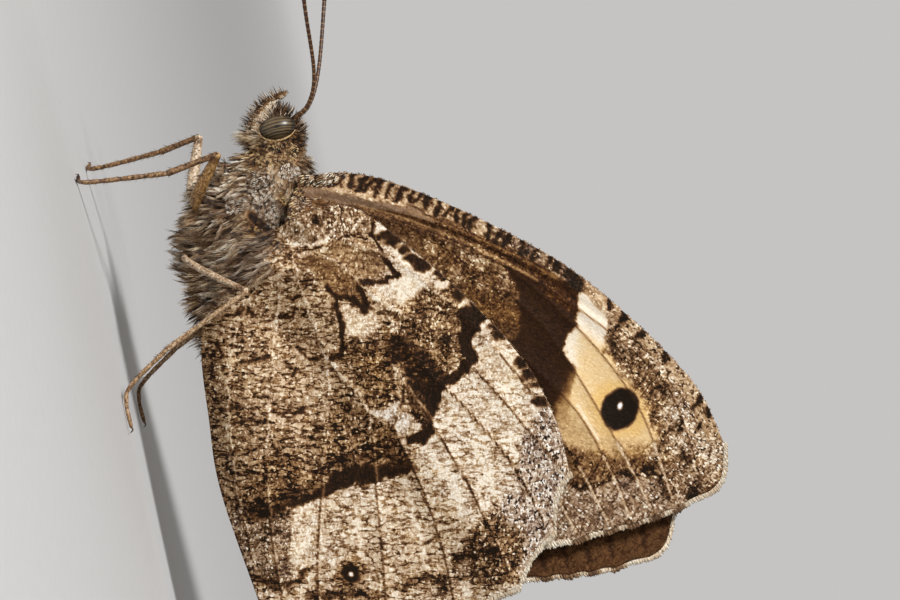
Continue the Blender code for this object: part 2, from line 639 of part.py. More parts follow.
def build():
    clear_scene()
    nodes = {}

    def add(name, made, finish):
        made.data.materials.clear()
        made.data.materials.append(material(name, finish))
        nodes[name] = made

    legs = {}
    for (leg, side_name), paths in LEG_PATHS.items():
        for segment, path, radii in zip(LEG_SEGMENTS, paths, LEG_RADII):
            legs[f"{leg}_{segment}_{side_name}"] = (path, radii, SIDES[side_name])

    def leg_form(name, grow=0.0, label=None):
        path, radii, side = legs[name]
        return tube(label or name, path, radii, side, grow)

    head = trunk_form("head", HEAD_AXIS, HEAD_STATIONS, rings=12)
    cutters = []
    for side_name, side in SIDES.items():
        cutters.append(eye_form("cutter", side, GAP))
        cutters.append(tube("cutter", PALP_PATH, PALP_RADII, side, GAP, squeeze=PALP_SQUEEZE))
        cutters.append(tube("cutter", ANTENNA_PATHS[side_name][:3], ANTENNA_RADII[:3], side, GAP))
    cut(head, cutters)
    add("head", head, "coat")

    core = [(share, back, belly - COAT_DEPTHS[0], half - COAT_DEPTHS[1])
            for share, back, belly, half in THORAX_STATIONS]
    thorax = trunk_form("thorax", THORAX_AXIS, core)
    fuse(thorax, thorax_locks(core))
    cutters = [trunk_form("cutter", HEAD_AXIS, HEAD_STATIONS, GAP, rings=12)]
    for side_name, side in SIDES.items():
        cutters.append(tube("cutter", PALP_PATH, PALP_RADII, side, GAP, squeeze=PALP_SQUEEZE))
        cutters.append(tube("cutter", FORELEG_PATH, FORELEG_RADII, side, GAP))
        for leg in ("midleg", "hindleg"):
            cutters.append(leg_form(f"{leg}_femur_{side_name}", GAP, "cutter"))
    cut(thorax, cutters)
    add("thorax", thorax, "coat")

    abdomen = trunk_form("abdomen", ABDOMEN_AXIS, ABDOMEN_STATIONS, rings=22)
    cutters = [trunk_form("cutter", THORAX_AXIS, THORAX_STATIONS, GAP, sides=28, rings=19)]
    cut(abdomen, cutters)
    add("abdomen", abdomen, "coat")

    fore_plan = wing_plan(FORE_COSTA, FORE_OUTER, FORE_INNER, FORE_TEETH, FORE_SCALLOP, FORE_VEINS,
                          ROOT_REACH["forewing"])
    hind_plan = wing_plan(HIND_COSTA, HIND_OUTER, HIND_INNER, HIND_TEETH, HIND_SCALLOP, HIND_VEINS,
                          ROOT_REACH["hindwing"])
    for side_name, side in SIDES.items():
        add(f"eye_{side_name}", eye_form(f"eye_{side_name}", side), "eye")
        palp = tube(f"palp_{side_name}", PALP_PATH, PALP_RADII, side, squeeze=PALP_SQUEEZE)
        add(palp.name, palp, "coat")
        antenna = tube(f"antenna_{side_name}", ANTENNA_PATHS[side_name], ANTENNA_RADII, side, sides=8)
        add(antenna.name, antenna, "horn")
        foreleg = tube(f"foreleg_{side_name}", FORELEG_PATH, FORELEG_RADII, side)
        add(foreleg.name, foreleg, "coat")
        for leg in ("midleg", "hindleg"):
            for segment, lower in (("femur", "tibia"), ("tibia", "tarsus"), ("tarsus", None)):
                name = f"{leg}_{segment}_{side_name}"
                made = leg_form(name)
                if lower:
                    cut(made, [leg_form(f"{leg}_{lower}_{side_name}", GAP, "cutter")])
                add(name, made, "leg")
        for kind, hinge, tilt, plan in (
            ("forewing", FORE_HINGE, FORE_TILT[side_name], fore_plan),
            ("hindwing", HIND_HINGE, HIND_TILT[side_name], hind_plan),
        ):
            wing = wing_form(f"{kind}_{side_name}", kind, side_name, hinge, tilt, plan)
            cut(wing, [trunk_form("cutter", THORAX_AXIS, THORAX_STATIONS, GAP, sides=28, rings=19)])
            add(wing.name, wing, "wing")

    for made in nodes.values():
        made.data.shade_smooth()
        made.data.set_sharp_from_angle(angle=math.radians(SHARP_ANGLE))


build()
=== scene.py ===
# %% [markdown]
# # A rock grayling at rest, life size
# The model is a butterfly with a 31 mm forewing, standing with its wings closed over its back. Its solid
# form comes from a CAD part, which gives every size. This lesson dresses that form: wings with their
# scales and veins, a furry trunk, ribbed antennae, spiny legs and striped eyes.
# The pieces are worked out in millimetres, as one would draw a specimen on squared paper, and only the
# mesh maker turns them into the metres of the frame.

import math

import bmesh
import bpy
import numpy as np
from mathutils import Matrix


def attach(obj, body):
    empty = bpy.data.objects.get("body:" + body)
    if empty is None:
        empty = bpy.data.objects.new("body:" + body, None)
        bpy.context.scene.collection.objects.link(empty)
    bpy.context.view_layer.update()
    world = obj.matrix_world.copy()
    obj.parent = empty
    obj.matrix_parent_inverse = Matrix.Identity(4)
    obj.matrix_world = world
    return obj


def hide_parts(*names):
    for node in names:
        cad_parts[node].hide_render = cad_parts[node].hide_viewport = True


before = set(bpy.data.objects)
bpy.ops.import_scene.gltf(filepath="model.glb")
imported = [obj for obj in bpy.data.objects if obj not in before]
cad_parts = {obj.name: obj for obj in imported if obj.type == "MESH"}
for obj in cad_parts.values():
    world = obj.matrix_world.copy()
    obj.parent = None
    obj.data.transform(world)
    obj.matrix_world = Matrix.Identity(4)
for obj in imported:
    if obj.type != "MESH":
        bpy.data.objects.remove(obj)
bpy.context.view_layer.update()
MM = 0.001
CENTRE_X = 9.3  # the drawing's origin is under the eyes, the frame's is under the middle of the model
SIDES = {"left": 1, "right": -1}


def placed(name, data):
    """A new object in the scene."""
    made = bpy.data.objects.new(name, data)
    bpy.context.collection.objects.link(made)
    return made


# %% [markdown]
# ## Camera, floor and light
# A butterfly clings head up to whatever it rests on, so the camera is rolled round to lie with it: the
# model stands on its feet while the picture shows it climbing. A long lens from 300 mm away keeps the
# wings free of perspective, as a macro lens does. The floor is pale and even. One soft window light from
# above and in front draws the fur and the vein relief, and a weak one from behind opens the shadows.

# %% Camera
FRAME_WIDTH = 55.98
CAMERA_DISTANCE = 300.0
CAMERA_TARGET = (-2.76, 20.84)
CAMERA_ROLL = math.radians(12.0)
SENSOR = 36.0

camera_data = bpy.data.cameras.new("Macro lens")
camera_data.sensor_width = SENSOR
camera_data.lens = SENSOR * CAMERA_DISTANCE / FRAME_WIDTH
camera_data.clip_start, camera_data.clip_end = 0.01, 20.0
camera = placed("Camera", camera_data)
right = (-math.sin(CAMERA_ROLL), 0.0, math.cos(CAMERA_ROLL))
up = (math.cos(CAMERA_ROLL), 0.0, math.sin(CAMERA_ROLL))
place = (CAMERA_TARGET[0] * MM, CAMERA_DISTANCE * MM, CAMERA_TARGET[1] * MM)
axes = (right, up, (0.0, 1.0, 0.0), place)
camera.matrix_world = Matrix([[axis[k] for axis in axes] for k in range(3)] + [[0, 0, 0, 1]])
bpy.context.scene.camera = camera
print("lens", round(camera_data.lens, 1), "mm")

# %% [markdown]
# ## Wiring materials in plain sums
# A material is a web of nodes. Small sums on numbers that vary over a surface are easier to read as
# expressions, so one class wraps a socket and turns `1 - mask` into the Math node that does it. The same
# class serves the node trees that plant hair, because Math nodes are common to both.

# %% A socket that can be calculated with
class Value:
    """A varying number in a node tree. Sums with it add Math nodes."""

    def __init__(self, graph, socket):
        self.graph, self.socket = graph, socket

    def maths(self, operation, *values, clamp=False):
        inputs = dict(enumerate(values))
        return self.graph.add("ShaderNodeMath", {"operation": operation, "use_clamp": clamp}, inputs)[0]

    def __add__(self, other):
        return self.maths("ADD", self, other)

    def __sub__(self, other):
        return self.maths("SUBTRACT", self, other)

    def __rsub__(self, other):
        return self.maths("SUBTRACT", other, self)

    def __mul__(self, other):
        return self.maths("MULTIPLY", self, other)

    __radd__, __rmul__ = __add__, __mul__

    def kept(self):
        return self.maths("ADD", self, 0.0, clamp=True)

    def away(self, middle):
        """How far from a middle value, either way."""
        return self.maths("ABSOLUTE", self - middle)

    def step(self, low, high):
        """0 below low, 1 above high, smooth between."""
        settings = {"interpolation_type": "SMOOTHSTEP"}
        return self.graph.add("ShaderNodeMapRange", settings, {0: self, 1: low, 2: high})[0]


class Node:
    """A node whose outputs are read as node["Name"]."""

    def __init__(self, graph, node):
        self.graph, self.node = graph, node

    def __getitem__(self, name):
        return Value(self.graph, self.node.outputs[name])


class Graph:
    """A node tree, filled by one method."""

    def __init__(self, tree):
        self.tree = tree

    def add(self, kind, settings=None, inputs=None):
        node = self.tree.nodes.new(kind)
        for name, value in (settings or {}).items():
            if name == "stops":
                while len(node.color_ramp.elements) < len(value):
                    node.color_ramp.elements.new(1.0)
                for element, (position, colour) in zip(node.color_ramp.elements, value):
                    element.position, element.color = position, (*colour, 1.0)
            else:
                setattr(node, name, value)
        for name, value in (inputs or {}).items():
            if isinstance(value, Value):
                self.tree.links.new(value.socket, node.inputs[name])
            else:
                node.inputs[name].default_value = value
        return Node(self, node)

    def mix(self, share, first, second):
        """Two colours in a share."""
        return self.add("ShaderNodeMix", {"data_type": "RGBA"}, {0: share, 6: first, 7: second})[2]

    def place(self):
        """Where a point of the surface lies in the frame."""
        return self.add("ShaderNodeTexCoord")["Object"]

    def noise(self, where, scale, detail=2.0):
        """Soft noise between 0 and 1."""
        inputs = {"Vector": where, "Scale": scale, "Detail": detail}
        return self.add("ShaderNodeTexNoise", None, inputs)["Fac"]

    def bump(self, strength, metres, height):
        """Normals that show a relief."""
        inputs = {"Strength": strength, "Distance": metres, "Height": height}
        return self.add("ShaderNodeBump", None, inputs)["Normal"]

    def parts(self, name):
        """The three numbers of a vector attribute."""
        node = self.add("ShaderNodeAttribute", {"attribute_name": name})
        split = self.add("ShaderNodeSeparateXYZ", None, {0: node["Vector"]})
        return split["X"], split["Y"], split["Z"]

    def vector(self, x, y, z):
        return self.add("ShaderNodeCombineXYZ", None, {0: x, 1: y, 2: z})["Vector"]

    def ramp(self, share, stops):
        return self.add("ShaderNodeValToRGB", {"stops": stops}, {"Fac": share})["Color"]


def material(name, **constants):
    """A new material: its graph and its Principled shader, with the even numbers set on the shader."""
    made = bpy.data.materials.new(name)
    made.use_nodes = True
    graph = Graph(made.node_tree)
    shader = made.node_tree.nodes["Principled BSDF"]
    for socket, value in constants.items():
        shader.inputs[socket.replace("_", " ")].default_value = value
    return made, graph, shader


def feed(graph, shader, **sources):
    """Joins varying values to the shader's sockets."""
    for socket, source in sources.items():
        graph.tree.links.new(source.socket, shader.inputs[socket.replace("_", " ")])


print("node helpers ready")

# %% Floor, sky and lamps
FLOOR_RADIUS = 0.9
FLOOR_CLEAR = (0.25, 0.85)
SKY = (1.0, 0.985, 0.965)
AMBIENT, BACKDROP = 0.22, 0.56  # light on the model, and brightness behind it
KEY_FROM = (0.44, 0.62, 0.60)
FILL_FROM = (-0.35, -0.75, 0.45)
KEY_POWER, KEY_SIZE = 3.9, 0.12
FILL_POWER, FILL_SIZE = 0.7, 0.4
LAMP_DISTANCE = 0.6

floor_mesh = bpy.data.meshes.new("Floor")
rim = [(FLOOR_RADIUS * math.cos(a), FLOOR_RADIUS * math.sin(a), 0.0)
       for a in np.linspace(0, math.tau, 97)[:-1]]
floor_mesh.from_pydata(rim, [], [range(len(rim))])
floor = placed("Floor", floor_mesh)
floor_material, graph, shader = material("Pale floor", Roughness=0.9, Specular_IOR_Level=0.1)
where = graph.place()
distance = graph.add("ShaderNodeVectorMath", {"operation": "LENGTH"}, {0: where})["Value"]
speckle = graph.noise(where, 900.0)
feed(graph, shader, Alpha=1.0 - distance.step(*FLOOR_CLEAR),
     Base_Color=graph.ramp(speckle, [(0.0, (0.56, 0.55, 0.54)), (1.0, (0.60, 0.59, 0.58))]))
floor_mesh.materials.append(floor_material)

world = bpy.data.worlds.new("Studio")
world.use_nodes = True
graph = Graph(world.node_tree)
seen = graph.add("ShaderNodeLightPath")["Is Camera Ray"]
background = world.node_tree.nodes["Background"]
background.inputs["Color"].default_value = (*SKY, 1.0)
graph.tree.links.new((AMBIENT + seen * (BACKDROP - AMBIENT)).socket, background.inputs["Strength"])
bpy.context.scene.world = world


def lamp(name, direction, power, size):
    """A square soft box that looks at the model."""
    data = bpy.data.lights.new(name, "AREA")
    data.energy, data.size = power, size
    made = placed(name, data)
    made.location = np.array(direction) / np.linalg.norm(direction) * LAMP_DISTANCE
    made.rotation_mode = "QUATERNION"
    made.rotation_quaternion = made.location.to_track_quat("Z", "Y")


lamp("Window light", KEY_FROM, KEY_POWER, KEY_SIZE)
lamp("Back fill", FILL_FROM, FILL_POWER, FILL_SIZE)
bpy.context.scene.view_settings.view_transform = "Standard"
print("lamps", len(bpy.data.lights))

# %% [markdown]
# ## Drawing tools
# Every outline, vein and mark on this insect is a curve through a few measured points. The helpers here
# draw such curves, tell how far any place is from one, and give cloudy noise for edges that nature never
# rules straight. Plain numpy is enough: the answers go into the meshes as vertices and attributes.

# %% Curves, distances and clouds
def spline(points, spacing):
    """Points about one spacing apart on a smooth curve through the given ones."""
    points = np.array(points, float)
    knots = np.vstack((2 * points[0] - points[1], points, 2 * points[-1] - points[-2]))
    curve = []
    for p0, p1, p2, p3 in zip(knots, knots[1:], knots[2:], knots[3:]):
        steps = max(1, round(float(np.linalg.norm(p2 - p1)) / spacing))
        for t in np.arange(steps) / steps:
            curve.append(p1 + 0.5 * t * (p2 - p0 + t * (2 * p0 - 5 * p1 + 4 * p2 - p3
                                                        + t * (-p0 + 3 * p1 - 3 * p2 + p3))))
    return np.array(curve + [points[-1]])


def unit(vectors):
    """Rows of numbers scaled to length 1."""
    return vectors / np.maximum(np.linalg.norm(vectors, axis=-1, keepdims=True), 1e-9)


def run_along(curve):
    """How far each point of a curve is from its start."""
    return np.concatenate(((0.0,), np.cumsum(np.linalg.norm(np.diff(curve, axis=0), axis=1))))


def evenly(curve, count):
    """The curve as count points at equal distances."""
    run = run_along(curve)
    wanted = np.linspace(0.0, run[-1], count)
    return np.stack([np.interp(wanted, run, curve[:, k]) for k in range(curve.shape[1])], axis=1)


def smoothstep(low, high, value):
    share = np.clip((value - low) / (high - low), 0.0, 1.0)
    return share * share * (3.0 - 2.0 * share)


def nearest(places, line):
    """Distance of each place from a drawn line, and the share of the line at which it is nearest."""
    line = np.asarray(line, float)
    best, share = np.full(len(places), 1e9), np.zeros(len(places))
    for k, (a, b) in enumerate(zip(line, line[1:])):
        along = b - a
        t = np.clip(((places - a) @ along) / max(along @ along, 1e-12), 0.0, 1.0)
        gap = np.linalg.norm(places - a - t[:, None] * along, axis=1)
        closer = gap < best
        best[closer], share[closer] = gap[closer], (k + t[closer]) / (len(line) - 1)
    return best, share


def depth_inside(places, outline):
    """How far each place lies inside a closed outline, negative outside it."""
    outline = np.asarray(outline, float)
    closed = np.vstack((outline, outline[:1]))
    x, y = places[:, 0], places[:, 1]
    within = np.zeros(len(places), bool)
    for (x0, y0), (x1, y1) in zip(closed, closed[1:]):
        if y0 != y1:
            within ^= ((y0 > y) != (y1 > y)) & (x < (x1 - x0) * (y - y0) / (y1 - y0) + x0)
    return np.where(within, 1.0, -1.0) * nearest(places, closed)[0]


def cloud(u, v, seed):
    """Smooth noise between -1 and 1 whose blotches are about one unit across."""
    table = np.random.default_rng(seed).uniform(-1.0, 1.0, (64, 64))
    i, j = np.floor(u).astype(int), np.floor(v).astype(int)
    a, b = smoothstep(0.0, 1.0, u - i), smoothstep(0.0, 1.0, v - j)
    low = table[i % 64, j % 64] * (1 - a) + table[(i + 1) % 64, j % 64] * a
    high = table[i % 64, (j + 1) % 64] * (1 - a) + table[(i + 1) % 64, (j + 1) % 64] * a
    return low * (1 - b) + high * b


def numbers_of(items, name):
    """One three-number property of every vertex or point, as rows."""
    values = np.zeros(len(items) * 3)
    items.foreach_get(name, values)
    return values.reshape(-1, 3)


def mesh_piece(name, points, faces, attributes, finish):
    """A piece from points in the drawing's millimetres, with numbers or vectors kept at each point."""
    mesh = bpy.data.meshes.new(name)
    mesh.from_pydata(((np.asarray(points, float) + (CENTRE_X, 0.0, 0.0)) * MM).tolist(), [],
                     faces.tolist() if isinstance(faces, np.ndarray) else faces)
    for label, values in attributes.items():
        values = np.asarray(values, float)
        kind = "FLOAT_VECTOR" if values.ndim == 2 else "FLOAT"
        layer = mesh.attributes.new(label, kind, "POINT")
        layer.data.foreach_set("vector" if values.ndim == 2 else "value", values.ravel())
    mesh.polygons.foreach_set("use_smooth", [True] * len(mesh.polygons))
    mesh.materials.append(finish)
    return placed(name, mesh)


def settle(piece, nodes):
    """Gives a finished piece its body, hides the solids it stands for and counts its triangles."""
    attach(piece, "root")
    if nodes:
        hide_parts(*nodes)
    triangles = sum(len(face.vertices) - 2 for face in piece.data.polygons)
    print(f"{piece.name}: {triangles} triangles")


# %% [markdown]
# ## The wings' paper pattern
# A wing is a stiff double skin stretched over hollow veins. On paper it is a plan in two directions: p runs
# from the hinge to the tip, q from the leading edge back. The outlines and the courses of the veins are the
# CAD part's own. Each wing is tilted about its hinge, laid on one curved sheet that stays close to the
# middle plane over the back and spreads round the trunk, and the hindwing lies outside the forewing.

# %% Outlines and veins
FOREWING = {
    "hinge": (-3.63, 13.47),
    "tilt": {"left": 45.5, "right": 35.5},
    "costa": ((-0.7, -0.6), (1.6, -2.4), (4.7, -3.5), (10.1, -4.4), (16.0, -4.8), (22.0, -4.1),
              (27.0, -2.8), (30.3, -0.8)),
    "outer": ((30.3, -0.8), (31.3, 1.3), (30.5, 3.4), (29.0, 5.5), (27.2, 7.6), (25.3, 9.7), (23.0, 11.9)),
    "inner": ((23.0, 11.9), (17.0, 9.7), (10.0, 6.8), (4.0, 4.1), (0.4, 2.2), (-0.7, -0.6)),
    "teeth": ((30.9, 2.2), (29.9, 4.1), (29.1, 5.4), (28.2, 6.5), (27.2, 7.6), (25.9, 9.1), (23.0, 11.9)),
    "scallop": 0.15,
    "grid": (262, 160),
    "veins": {
        "subcosta": (0.24, 0.30, ((0.3, -0.2), (2.4, -1.3), (5.9, -2.3), (10.8, -3.3), (16.3, -3.9),
                                  (20.0, -3.8))),
        "radius": (0.14, 0.20, ((0.9, 0.3), (5.9, -1.4), (12.9, -2.75), (16.8, -3.0), (21.4, -2.7),
                                (25.1, -2.0), (28.0, -0.1), (30.4, 2.0))),
        "radial_branch": (0.07, 0.12, ((23.1, -2.3), (27.3, -1.5), (30.3, 0.0))),
        "media_1": (0.08, 0.12, ((12.9, -2.75), (16.0, -2.5), (20.8, -1.4), (25.0, 0.4), (29.4, 3.8))),
        "media_2": (0.08, 0.12, ((13.7, -1.5), (17.0, -0.9), (21.5, 1.1), (25.5, 3.2), (28.6, 5.0))),
        "media_3": (0.08, 0.12, ((13.9, 0.9), (17.5, 1.5), (21.6, 2.5), (25.2, 4.4), (27.8, 6.2))),
        "cubitus": (0.13, 0.18, ((0.9, 0.9), (3.9, 1.0), (8.2, 1.9), (12.9, 1.8), (17.1, 2.8), (22.9, 5.0),
                                 (26.8, 7.2))),
        "cubitus_2": (0.08, 0.12, ((8.8, 1.9), (13.0, 3.7), (18.0, 5.4), (22.5, 7.2), (25.5, 8.8))),
        "cell_end": (0.05, 0.10, ((12.9, -2.75), (13.7, -1.5), (13.6, -0.2), (13.9, 0.9), (12.9, 1.8))),
        "anal": (0.10, 0.15, ((0.9, 1.5), (5.5, 3.9), (11.5, 6.5), (17.5, 8.7), (22.6, 11.3))),
    },
}
HINDWING = {
    "hinge": (-6.72, 11.86),
    "tilt": {"left": 22.0, "right": 22.0},
    "costa": ((-1.2, -1.0), (-0.6, -3.6), (1.1, -5.0), (5.0, -6.3), (10.0, -7.5), (14.5, -8.0),
              (18.5, -7.5), (21.3, -6.5)),
    "outer": ((21.3, -6.5), (23.8, -3.6), (25.4, 0.2), (25.3, 4.6), (23.8, 8.8), (21.5, 12.4),
              (17.6, 14.1)),
    "inner": ((17.6, 14.1), (10.2, 12.1), (6.1, 10.2), (2.0, 8.0), (-0.4, 5.4), (-1.4, 2.4), (-1.2, -1.0)),
    "teeth": ((21.3, -6.5), (23.8, -3.6), (25.4, 0.2), (25.3, 4.6), (23.8, 8.8), (21.5, 12.4),
              (19.5, 13.7), (17.6, 14.1)),
    "scallop": 0.5,
    "grid": (230, 200),
    "veins": {
        "humeral": (0.08, 0.14, ((0.6, -0.2), (1.2, -1.7), (1.6, -3.0), (0.8, -4.4))),
        "subcosta": (0.09, 0.14, ((1.6, -3.0), (4.6, -5.0), (8.0, -6.1), (12.0, -6.9), (16.0, -7.3))),
        "radius": (0.10, 0.15, ((0.6, 0.0), (2.2, -1.7), (6.4, -2.9), (10.0, -4.5), (13.5, -5.3),
                                (17.5, -5.8), (20.8, -6.2))),
        "media_1": (0.07, 0.12, ((5.6, -2.6), (10.6, -2.6), (14.5, -3.4), (19.0, -3.8), (23.3, -3.4))),
        "media_2": (0.07, 0.12, ((7.6, -2.5), (9.4, -1.2), (13.9, -1.1), (19.0, -0.8), (24.9, 0.2))),
        "media_3": (0.07, 0.12, ((12.8, 1.0), (17.6, 1.8), (21.4, 2.9), (24.9, 4.4))),
        "cubitus": (0.10, 0.15, ((0.6, 0.2), (2.9, 1.0), (7.0, 1.9), (11.0, 1.8), (15.0, 3.8), (19.4, 6.2),
                                 (23.5, 8.6))),
        "cell_end": (0.05, 0.10, ((9.4, -1.2), (11.2, -0.6), (12.8, 1.0), (11.0, 1.8))),
        "cubitus_2": (0.07, 0.12, ((7.0, 1.9), (10.0, 4.0), (13.9, 7.1), (17.5, 9.8), (21.2, 12.1))),
        "anal_2": (0.07, 0.12, ((0.5, 0.7), (3.8, 3.6), (8.6, 7.4), (13.8, 10.8), (19.2, 13.3))),
        "anal_3": (0.07, 0.12, ((0.3, 1.0), (2.1, 5.1), (5.9, 8.6), (10.2, 10.9), (15.5, 13.2))),
    },
}
WINGS = {"forewing": FOREWING, "hindwing": HINDWING}
print("veins drawn:", len(FOREWING["veins"]), "and", len(HINDWING["veins"]))

# %% From the pattern to the sheet
FORE_LEVEL = 0.47
HIND_RISE = 0.78
TRUNK_CLEARANCE = 0.66
SWELL_START, SWELL_FULL = 1.9, 0.35
# Bulges of the trunk: middle x, z, direction along it, half length, half depth, half width.
TRUNK_SWELLS = (((-4.9, 9.3), (-0.872, -0.490), 5.6, 3.9, 2.7),
                ((-14.5, 7.3), (-0.998, -0.067), 7.6, 2.0, 1.75))
OVERLAP_FADE = (-4.4, -0.8)
TUCK = {"reach": (1.9, 0.2), "depth": 0.9}


def to_frame(p, q, wing, side):
    """Pattern to picture plane: x runs to the head, z up."""
    turn = math.radians(wing["tilt"][side])
    x = wing["hinge"][0] - p * math.cos(turn) - q * math.sin(turn)
    return x, wing["hinge"][1] + p * math.sin(turn) - q * math.cos(turn)


def to_pattern(x, z, wing, side):
    turn = math.radians(wing["tilt"][side])
    dx, dz = x - wing["hinge"][0], z - wing["hinge"][1]
    return -dx * math.cos(turn) + dz * math.sin(turn), -dx * math.sin(turn) - dz * math.cos(turn)


def past_fore_margin(x, z, side):
    """How far a place lies inside the forewing's trailing edge."""
    p, q = to_pattern(x, z, FOREWING, side)
    (p0, q0), (p1, q1) = FOREWING["inner"][-2], FOREWING["inner"][0]
    return ((p - p0) * (q1 - q0) - (q - q0) * (p1 - p0)) / math.hypot(p1 - p0, q1 - q0)


def sheet_level(x, z):
    """Distance of a forewing from the middle plane."""
    swell = 0.0
    for middle, along, half_length, half_depth, half_width in TRUNK_SWELLS:
        dx, dz = x - middle[0], z - middle[1]
        lengthwise = (dx * along[0] + dz * along[1]) / half_length
        crosswise = (dx * along[1] - dz * along[0]) / half_depth
        rise = half_width + TRUNK_CLEARANCE - FORE_LEVEL
        swell = swell + (rise * smoothstep(SWELL_START, SWELL_FULL, np.hypot(lengthwise, crosswise))) ** 4
    return FORE_LEVEL + swell**0.25


def wing_level(x, z, wing, side):
    """The middle of a wing's skin, tucked in under the fur at its hinge."""
    level = sheet_level(x, z)
    if wing is HINDWING:
        level = level + HIND_RISE * smoothstep(*OVERLAP_FADE, past_fore_margin(x, z, side))
    from_hinge = np.hypot(x - wing["hinge"][0], z - wing["hinge"][1])
    return level - TUCK["depth"] * smoothstep(*TUCK["reach"], from_hinge)


# %% The grid of a wing
TOOTH_SPAN = 2.0
VEIN_TAPER = 0.65  # share of its height that a vein loses toward the margin


def scalloped(outer, teeth, depth):
    """The outer margin, drawn in between the teeth where the veins end."""
    run = run_along(outer)
    marks = sorted(run[np.argmin(np.linalg.norm(outer - np.array(tooth), axis=1))] for tooth in teeth)
    tangent = unit(np.gradient(outer, axis=0))
    drawn = outer.copy()
    for low, high in zip(marks, marks[1:]):
        between = (run > low) & (run < high)
        share = (run[between] - low) / (high - low)
        inset = depth * min(1.0, (high - low) / TOOTH_SPAN) * np.sin(math.pi * share)
        drawn[between] += np.stack((-tangent[between, 1], tangent[between, 0]), axis=1) * inset[:, None]
    return drawn


def wing_grid(wing):
    """Places on the pattern in rows from root to margin and columns from leading to trailing edge."""
    rows, columns = wing["grid"]
    costa = evenly(spline(wing["costa"], 0.2), rows + 1)
    inner = evenly(spline(wing["inner"], 0.2), rows + 1)[::-1]
    outer = evenly(scalloped(spline(wing["outer"], 0.04), wing["teeth"], wing["scallop"]), columns + 1)
    s, t = np.linspace(0, 1, rows + 1)[:, None, None], np.linspace(0, 1, columns + 1)[None, :, None]
    grid = (1 - t) * costa[:, None] + t * inner[:, None] + s * outer[None]
    return grid - s * ((1 - t) * outer[0] + t * outer[-1])


def vein_relief(places, wing):
    """Height of the veins' ridges, and the gap to the nearest vein."""
    height, gap = np.zeros(len(places)), np.full(len(places), 9.0)
    for tall, half, course in wing["veins"].values():
        away, share = nearest(places, spline(course, 0.4))
        taper = 1.0 - VEIN_TAPER * share
        height = np.maximum(height, tall * taper * np.exp(-((away / (half * 1.1)) ** 2)))
        gap = np.minimum(gap, away)
    return height, gap


def grid_faces(rows, columns):
    """The numbers of a grid's points, and the quads between them."""
    index = np.arange(rows * columns).reshape(rows, columns)
    quads = np.stack((index[:-1, :-1], index[1:, :-1], index[1:, 1:], index[:-1, 1:]), axis=-1)
    return index, quads.reshape(-1, 4)


grids = {kind: wing_grid(wing) for kind, wing in WINGS.items()}
print("steps along and across a forewing in mm:", np.round(
    (np.linalg.norm(grids["forewing"][100, 80] - grids["forewing"][101, 80]),
     np.linalg.norm(grids["forewing"][200, 80] - grids["forewing"][200, 81])), 3))

# %% [markdown]
# ## Painting with scales
# The pattern of a wing is a mosaic of tiny scales, each of one colour. Large marks such as bands and
# eye-spots are regions in which most scales agree, and the speckle is where they don't. So the marks are
# laid on the wing's points as five numbers: tone, warmth, how much single scales differ (flecks), short
# cross strokes, and black pepper. The material turns those into the colour of each scale. All marks share one
# warped set of places, which makes every edge ragged in the same way that rows of scales do.

# %% A set of paint layers
class Paint:
    """Layers over a wing's places, painted mark after mark."""

    def __init__(self, places, seed, **ground):
        self.places = places
        p, q = places.T
        warp = [0.16 * cloud(p / 0.55, q / 0.4, seed + k) + 0.09 * cloud(p / 0.2, q / 0.17, seed + k + 5)
                for k in (1, 2)]
        self.ragged = places + np.stack(warp, axis=1)
        self.tongues = np.stack([cloud(p / 0.8, q / 1.1, seed + k) for k in (7, 8)], axis=1)
        self.layers = {label: np.full(len(places), value, float) for label, value in ground.items()}

    def lay(self, cover, index=..., **wanted):
        """Draws layers toward the wanted numbers by a cover between 0 and 1."""
        for label, value in wanted.items():
            layer = self.layers[label]
            layer[index] += (value - layer[index]) * cover

    def near(self, points, room, places):
        """The places that a mark can reach, to save work."""
        points = np.asarray(points, float)
        low, high = points.min(axis=0) - room, points.max(axis=0) + room
        return np.flatnonzero(((places >= low) & (places <= high)).all(axis=1))

    def patch(self, outline, edge=0.1, share=1.0, wander=0.0, **wanted):
        """A filled outline; wander, in mm, makes its edge stray in broad tongues."""
        places = self.ragged + wander * self.tongues
        index = self.near(outline, edge, places)
        depth = depth_inside(places[index], outline)
        self.lay(share * smoothstep(-edge, edge, depth), index, **wanted)

    def line(self, course, width, edge=0.06, share=1.0, clean=False, **wanted):
        """A line of a width, or of two widths from its start to its end."""
        course = spline(course, 0.25)
        start, end = width if isinstance(width, tuple) else (width, width)
        places = self.places if clean else self.ragged
        index = self.near(course, max(start, end) + edge, places)
        away, run = nearest(places[index], course)
        half = (start + (end - start) * run) / 2
        self.lay(share * smoothstep(edge, -edge, away - half), index, **wanted)

    def spot(self, centre, halves, turn=0.0, edge=0.1, share=1.0, ragged=1.0, **wanted):
        """An oval with the given half sizes; ragged 0 keeps its edge clean."""
        places = self.places + ragged * (self.ragged - self.places)
        index = self.near([centre], max(halves) * 1.5 + edge, places)
        offset = places[index] - centre
        a = math.radians(turn)
        u = (offset[:, 0] * math.cos(a) + offset[:, 1] * math.sin(a)) / halves[0]
        v = (-offset[:, 0] * math.sin(a) + offset[:, 1] * math.cos(a)) / halves[1]
        depth = (1.0 - np.hypot(u, v)) * min(halves)
        self.lay(share * smoothstep(-edge, edge, depth), index, **wanted)


print("layers: tone, warmth, flecks, strokes, pepper")

# %% [markdown]
# ### Underside of the forewing
# At rest only the front of this wing shows. From the hinge out it has a barred cream strip along the leading
# edge, an ochre-brown cell, a chocolate band with a jagged outer edge, a field that goes from white to
# yellow-ochre round one black eye-spot with a white pupil, and a peppered tip. Behind lies the part that the
# hindwing hides, painted to match what shows of it.

